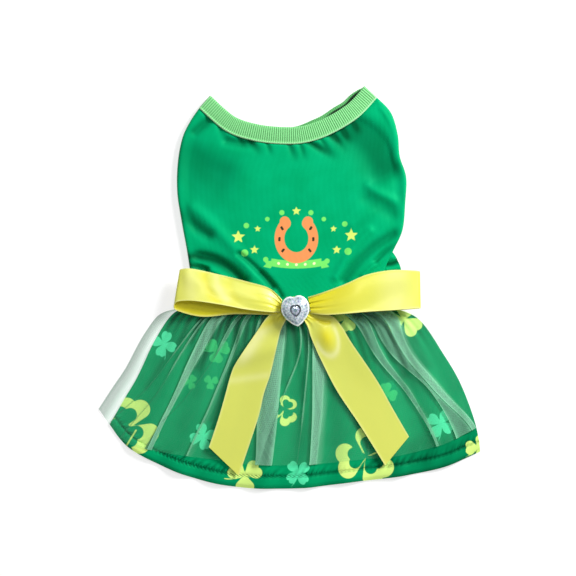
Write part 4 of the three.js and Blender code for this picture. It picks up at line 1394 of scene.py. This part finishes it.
# Bow tails
# The ribbon's two ends come out from under the knot and lie on the net, cut off on a slant.
LEFT_TAIL = [
    (1.6, -15.2, -4.0, -13.3),
    (-0.9, -19.5, -11.8, -17.1),
    (-4.3, -26.4, -19.8, -27.9),
    (-7.4, -39.4, -31.0, -44.6),
    (-10.8, -53.6, -35.0, -53.0),
    (-14.7, -65.4, -38.8, -66.7),
    (-18.6, -81.5, -43.1, -81.5),
    (-30.2, -116.2, -48.7, -98.3),
]
RIGHT_TAIL = [
    (10.8, -13.9, 9.6, -18.3),
    (20.8, -15.3, 12.4, -23.2),
    (28.2, -17.5, 14.3, -29.4),
    (33.8, -23.9, 17.1, -36.3),
    (40.0, -34.1, 20.8, -44.3),
    (54.9, -56.1, 30.7, -63.5),
    (65.4, -74.7, 45.6, -85.9),
    (75.3, -91.8, 60.5, -109.7),
]
KNOT_HEIGHT = 8.6
# a small roll across the top of each tail, sunk and painted with golden shade, as folds of the bodice are
# given
TAIL_ROLLS = [(13.9, -17.7, 25.5, -21.0, 0.8, 1.3, 1.0), (-5, -18, -20, -27.5, 0.5, 2.4, 0.6)]
# the swell near the top of the right tail, painted golden in its middle as light that it throws on itself,
# with a painted highlight along part of its rim: x, y, turn in degrees, half length and half width
BOWL = (24.2, -30.2, -72, 9.5, 5.4)
# a swell and two painted highlight lines across the left tail: x, y, turn in degrees, half width
SWELL_LINE = (-27, -42, 15, 6)
BRIGHT_LINES = [(-23, -37, 58, 4.0), (-24, -55.5, 8, 2.4)]
net_tops = net_points.reshape(-1, 3)


def on_net(x, y, reach):
    """How high a ribbon lies on the net around a place."""
    height = np.zeros_like(x)
    for row in np.ndindex(x.shape):
        near = np.hypot(net_tops[:, 0] - x[row], net_tops[:, 1] - y[row]) < reach
        height[row] = net_tops[near, 2].max() if near.any() else 0
    return height + 0.4


def spread_out(grid, steps):
    """The rows of a coarse grid with every COARSE-th value known, filled in to that many values."""
    known = np.arange(grid.shape[1])
    return np.array([np.interp(np.arange(steps) / COARSE, known, line) for line in grid])


def smoothed(grid, times):
    """A grid with each value made the mean of its four neighbours, that many times."""
    for _ in range(times):
        padded = np.pad(grid, 1, mode="edge")
        grid = (padded[:-2, 1:-1] + padded[2:, 1:-1] + padded[1:-1, :-2] + padded[1:-1, 2:]) / 4
    return grid


def by_line(x, y, line):
    """How near a place is to a line across the ribbon: 1 on it, fading to each side."""
    return bell(turned(x - line[0], y - line[1], line[2])[1], line[3])


TAIL_STEPS, TAIL_LANES = 110, 34
COARSE = 6
for side, table in (("left", LEFT_TAIL), ("right", RIGHT_TAIL)):
    rows = even_rows(table, TAIL_STEPS)
    share = np.linspace(0, 1, TAIL_LANES)[None, :]
    x = rows[:, :1] * (1 - share) + rows[:, 2:3] * share
    y = rows[:, 1:2] * (1 - share) + rows[:, 3:4] * share
    down = np.linspace(0, 1, TAIL_STEPS)[:, None] * np.ones_like(share)
    at_knot = 1 - ease(down, 0, 0.3)
    # It lies on the net's high places in a soft sheet, and rises over each one that is close under it.
    coarse = on_net(x[::COARSE, ::COARSE], y[::COARSE, ::COARSE], 12)
    lying = smoothed(spread_out(spread_out(coarse, TAIL_LANES).T, TAIL_STEPS).T, 60)
    fine = np.kron(on_net(x[::2, ::2], y[::2, ::2], 2.2), np.ones((2, 2)))
    lying = smoothed(np.maximum(lying, fine[:TAIL_STEPS, :TAIL_LANES]), 4)
    folded = np.cos(3.4 * math.pi * share + 0.4) + 0.5 * np.cos(8 * math.pi * share)
    height = lying * (1 - at_knot) + KNOT_HEIGHT * at_knot + 0.55 * at_knot * folded
    height += 0.3 * np.sin(5.5 * down + 2 * share) * ease(down, 0.15, 0.5)
    rolled = folds_at(TAIL_ROLLS, x, y)
    height -= 0.7 * rolled
    # Painted golden shade in the folds at the knot and in the rolls, and below painted golden light in the
    # swell of the right tail and painted highlights on both tails.
    painted_gold = np.clip(at_knot**2 * (0.55 - 0.45 * folded), 0, 1)
    painted_gold = np.clip(painted_gold + 0.9 * rolled, 0, 1)
    if side == "right":
        bowl_x, bowl_y = turned(x - BOWL[0], y - BOWL[1], BOWL[2])
        far_out = np.hypot(bowl_x / BOWL[3], bowl_y / BOWL[4])
        bowl = bell(far_out, 1)
        height += 1.8 * bowl
        painted_gold = np.clip(painted_gold + 0.9 * bowl**1.5, 0, 1)
        pale = 0.75 * bell(far_out - 1.25, 0.22) * ease(x - y, 47, 55)
    else:
        height += 1.2 * by_line(x, y, SWELL_LINE)
        pale = 0.8 * by_line(x, y, BRIGHT_LINES[0]) * (1 - ease(-y, 40, 52)) * ease(-y, 20, 28)
        pale += 0.4 * by_line(x, y, BRIGHT_LINES[1])
    points = np.dstack([x, y, height])
    tail = ribbon_piece("bow_tail_%s_ribbon" % side, points, painted_gold, pale)
    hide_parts("bow_tail_%s" % side)


# Knot
# A short length of the ribbon wound tightly around the middle of the bow and gathered, so that it
# stands up as a small creased pad under the stone.
# middle x and y, width, depth, and the heights of its foot and its top
KNOT = (4.8, -12.0, 15.0, 14.0, 7.0, 12.0)
KNOT_GATHERS = 22
turn, rise = np.meshgrid(np.linspace(0, 2 * math.pi, 97)[:-1], np.linspace(0, 1, 30), indexing="ij")
outwards = np.sqrt(1 - np.clip((rise - 0.35) / 0.65, 0, 1) ** 2.6 * 0.93)
gathers = 1 + 0.03 * np.cos(KNOT_GATHERS * turn) * (1 - rise**2)
spread = 0.5 * outwards * gathers * (0.88 + 0.12 * np.sin(math.pi * np.minimum(rise * 1.4, 1)))
x, y = KNOT[0] + KNOT[2] * spread * np.cos(turn), KNOT[1] + KNOT[3] * spread * np.sin(turn)
points = np.dstack([x, y, KNOT[4] + (KNOT[5] - KNOT[4]) * rise])
index = np.arange(turn.size).reshape(turn.shape)
ahead = np.roll(index, -1, axis=0)
quads = np.stack([index[:, :-1], ahead[:, :-1], ahead[:, 1:], index[:, 1:]], -1).reshape(-1, 4)
faces = quads.tolist() + [index[::-1, 0].tolist(), index[:, -1].tolist()]
# Painted golden shade in the gathers of the knot.
layers = {"painted_gold": np.clip(0.35 + 0.3 * np.cos(KNOT_GATHERS * turn), 0, 1), "edge": np.zeros(turn.shape)}
wound = np.stack([turn * 7.2, rise * 9.0], -1)
knot = make_piece("bow_knot_ribbon", points.reshape(-1, 3), faces, wound, layers)
knot.data.materials.append(satin)
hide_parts("bow_knot")


# Heart stone
# A faceted heart of clear moulded acrylic with a silver foil back, sewn or glued to the knot. Its
# facets run from a thin rim up to a small flat heart.
# x, y, and how far it is turned to the left
STONE = (5.0, -13.5, 0.14)
STONE_BASE = 12.3
STONE_SIZE = 0.965
# the outline's radius at degrees from the notch
HEART = [
    (0, 8.5),
    (13, 9.6),
    (28, 10.2),
    (45, 10.1),
    (65, 9.6),
    (90, 8.9),
    (115, 8.3),
    (140, 8.2),
    (160, 8.9),
    (180, 10.3),
]
# size, height above the base, whether the ring's corners fall between the last ring's, and how dim
# and how bright the painted reflections of the facets above it are
CROWN = [
    (0.95, 0.0, 0, 0.6, 0.9),
    (1.0, 0.7, 0, 0.8, 1.0),
    (1.0, 1.6, 0, 0.85, 1.0),
    (0.9, 2.5, 1, 0.1, 0.65),
    (0.74, 3.4, 0, 0.2, 0.85),
    (0.56, 4.1, 1, 0.25, 0.9),
    (0.4, 4.6, 0, 0.0, 0.04),
    (0.27, 4.2, 1, 0.15, 0.6),
    (0.12, 4.5, 0, 0.1, 0.1),
]
CORNERS = 28


def heart_ring(size, height, shifted):
    """Corners of a full-bodied heart of that size, and half a step on if the ring is shifted."""
    angle = (np.arange(CORNERS) + 0.5 * shifted) * 2 * math.pi / CORNERS
    from_notch = np.degrees(np.minimum(angle, 2 * math.pi - angle))
    radius = STONE_SIZE * size * np.interp(from_notch, *np.array(HEART).T)
    x, y = turned(radius * np.sin(angle), radius * np.cos(angle), -math.degrees(STONE[2]))
    return np.column_stack([x + STONE[0], y + STONE[1], np.full(CORNERS, STONE_BASE + height)])


def faceted(name, table):
    """A heart built from rings of corners joined by flat triangles."""
    rings = [heart_ring(*row[:3]) for row in table]
    faces = []
    glints = []
    for level in range(len(rings) - 1):
        low, high = level * CORNERS, (level + 1) * CORNERS
        for i in range(CORNERS):
            after = (i + 1) % CORNERS
            if table[level + 1][2] > table[level][2]:
                faces += [(low + i, low + after, high + i), (low + after, high + after, high + i)]
            elif table[level + 1][2] < table[level][2]:
                faces += [(low + i, high + after, high + i), (low + i, low + after, high + after)]
            else:
                faces.append((low + i, low + after, high + after, high + i))
        # Each facet gets its own painted reflection, somewhere between its ring's dim and bright.
        dim, bright = table[level][3:]
        steps = np.arange(len(faces) - len(glints)) * 0.618 + 0.3 * level
        glints += (dim + (bright - dim) * np.mod(steps, 1)).tolist()
    faces.append([(len(rings) - 1) * CORNERS + i for i in range(CORNERS)])
    faces.append([CORNERS - 1 - i for i in range(CORNERS)])
    glints += [table[-1][4]] * (len(faces) - len(glints))
    mesh = bpy.data.meshes.new(name)
    mesh.from_pydata(((np.vstack(rings) - DRESS_MIDDLE) / 1000).tolist(), [], faces)
    mesh.attributes.new("glint", "FLOAT", "FACE").data.foreach_set("value", glints)
    piece = place_piece(name, mesh)
    bpy.ops.object.mode_set(mode="EDIT")
    bpy.ops.mesh.select_all(action="SELECT")
    bpy.ops.mesh.normals_make_consistent(inside=False)
    bpy.ops.object.mode_set(mode="OBJECT")
    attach(piece, "root")
    return piece


# Clear acrylic over silver foil, seen as one: each facet is painted pale or dim as a painted reflection of
# the part of the room that it would catch, and the deep cut around the little heart in the middle is painted
# dark as shade.
acrylic, tree = new_material("foil backed clear acrylic")
facets = add_node(tree, "ShaderNodeValToRGB", {"Fac": layer(tree, "glint")})
facets.color_ramp.elements[0].color = srgb("#2f333a")
facets.color_ramp.elements[1].color = srgb("#f3f8fb")
facets.color_ramp.elements.new(0.12).color = srgb("#7f909e")
facets.color_ramp.elements.new(0.5).color = srgb("#b9c8d2")
on_object = add_node(tree, "ShaderNodeTexCoord").outputs["Object"]
haze = add_node(tree, "ShaderNodeTexNoise", {"Vector": on_object, "Scale": 900.0, "Detail": 3.0})
colour = blend(tree, 0.5, facets.outputs["Color"], haze.outputs["Color"], blend_type="OVERLAY")
surface(tree, {
    "Base Color": colour,
    "Metallic": 0.25,
    "Roughness": 0.12,
    "IOR": 1.49,
    "Coat Weight": 1.0,
    "Coat Roughness": 0.03,
})
gem = faceted("heart_stone_acrylic", CROWN)
gem.data.materials.append(acrylic)
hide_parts("heart_stone")
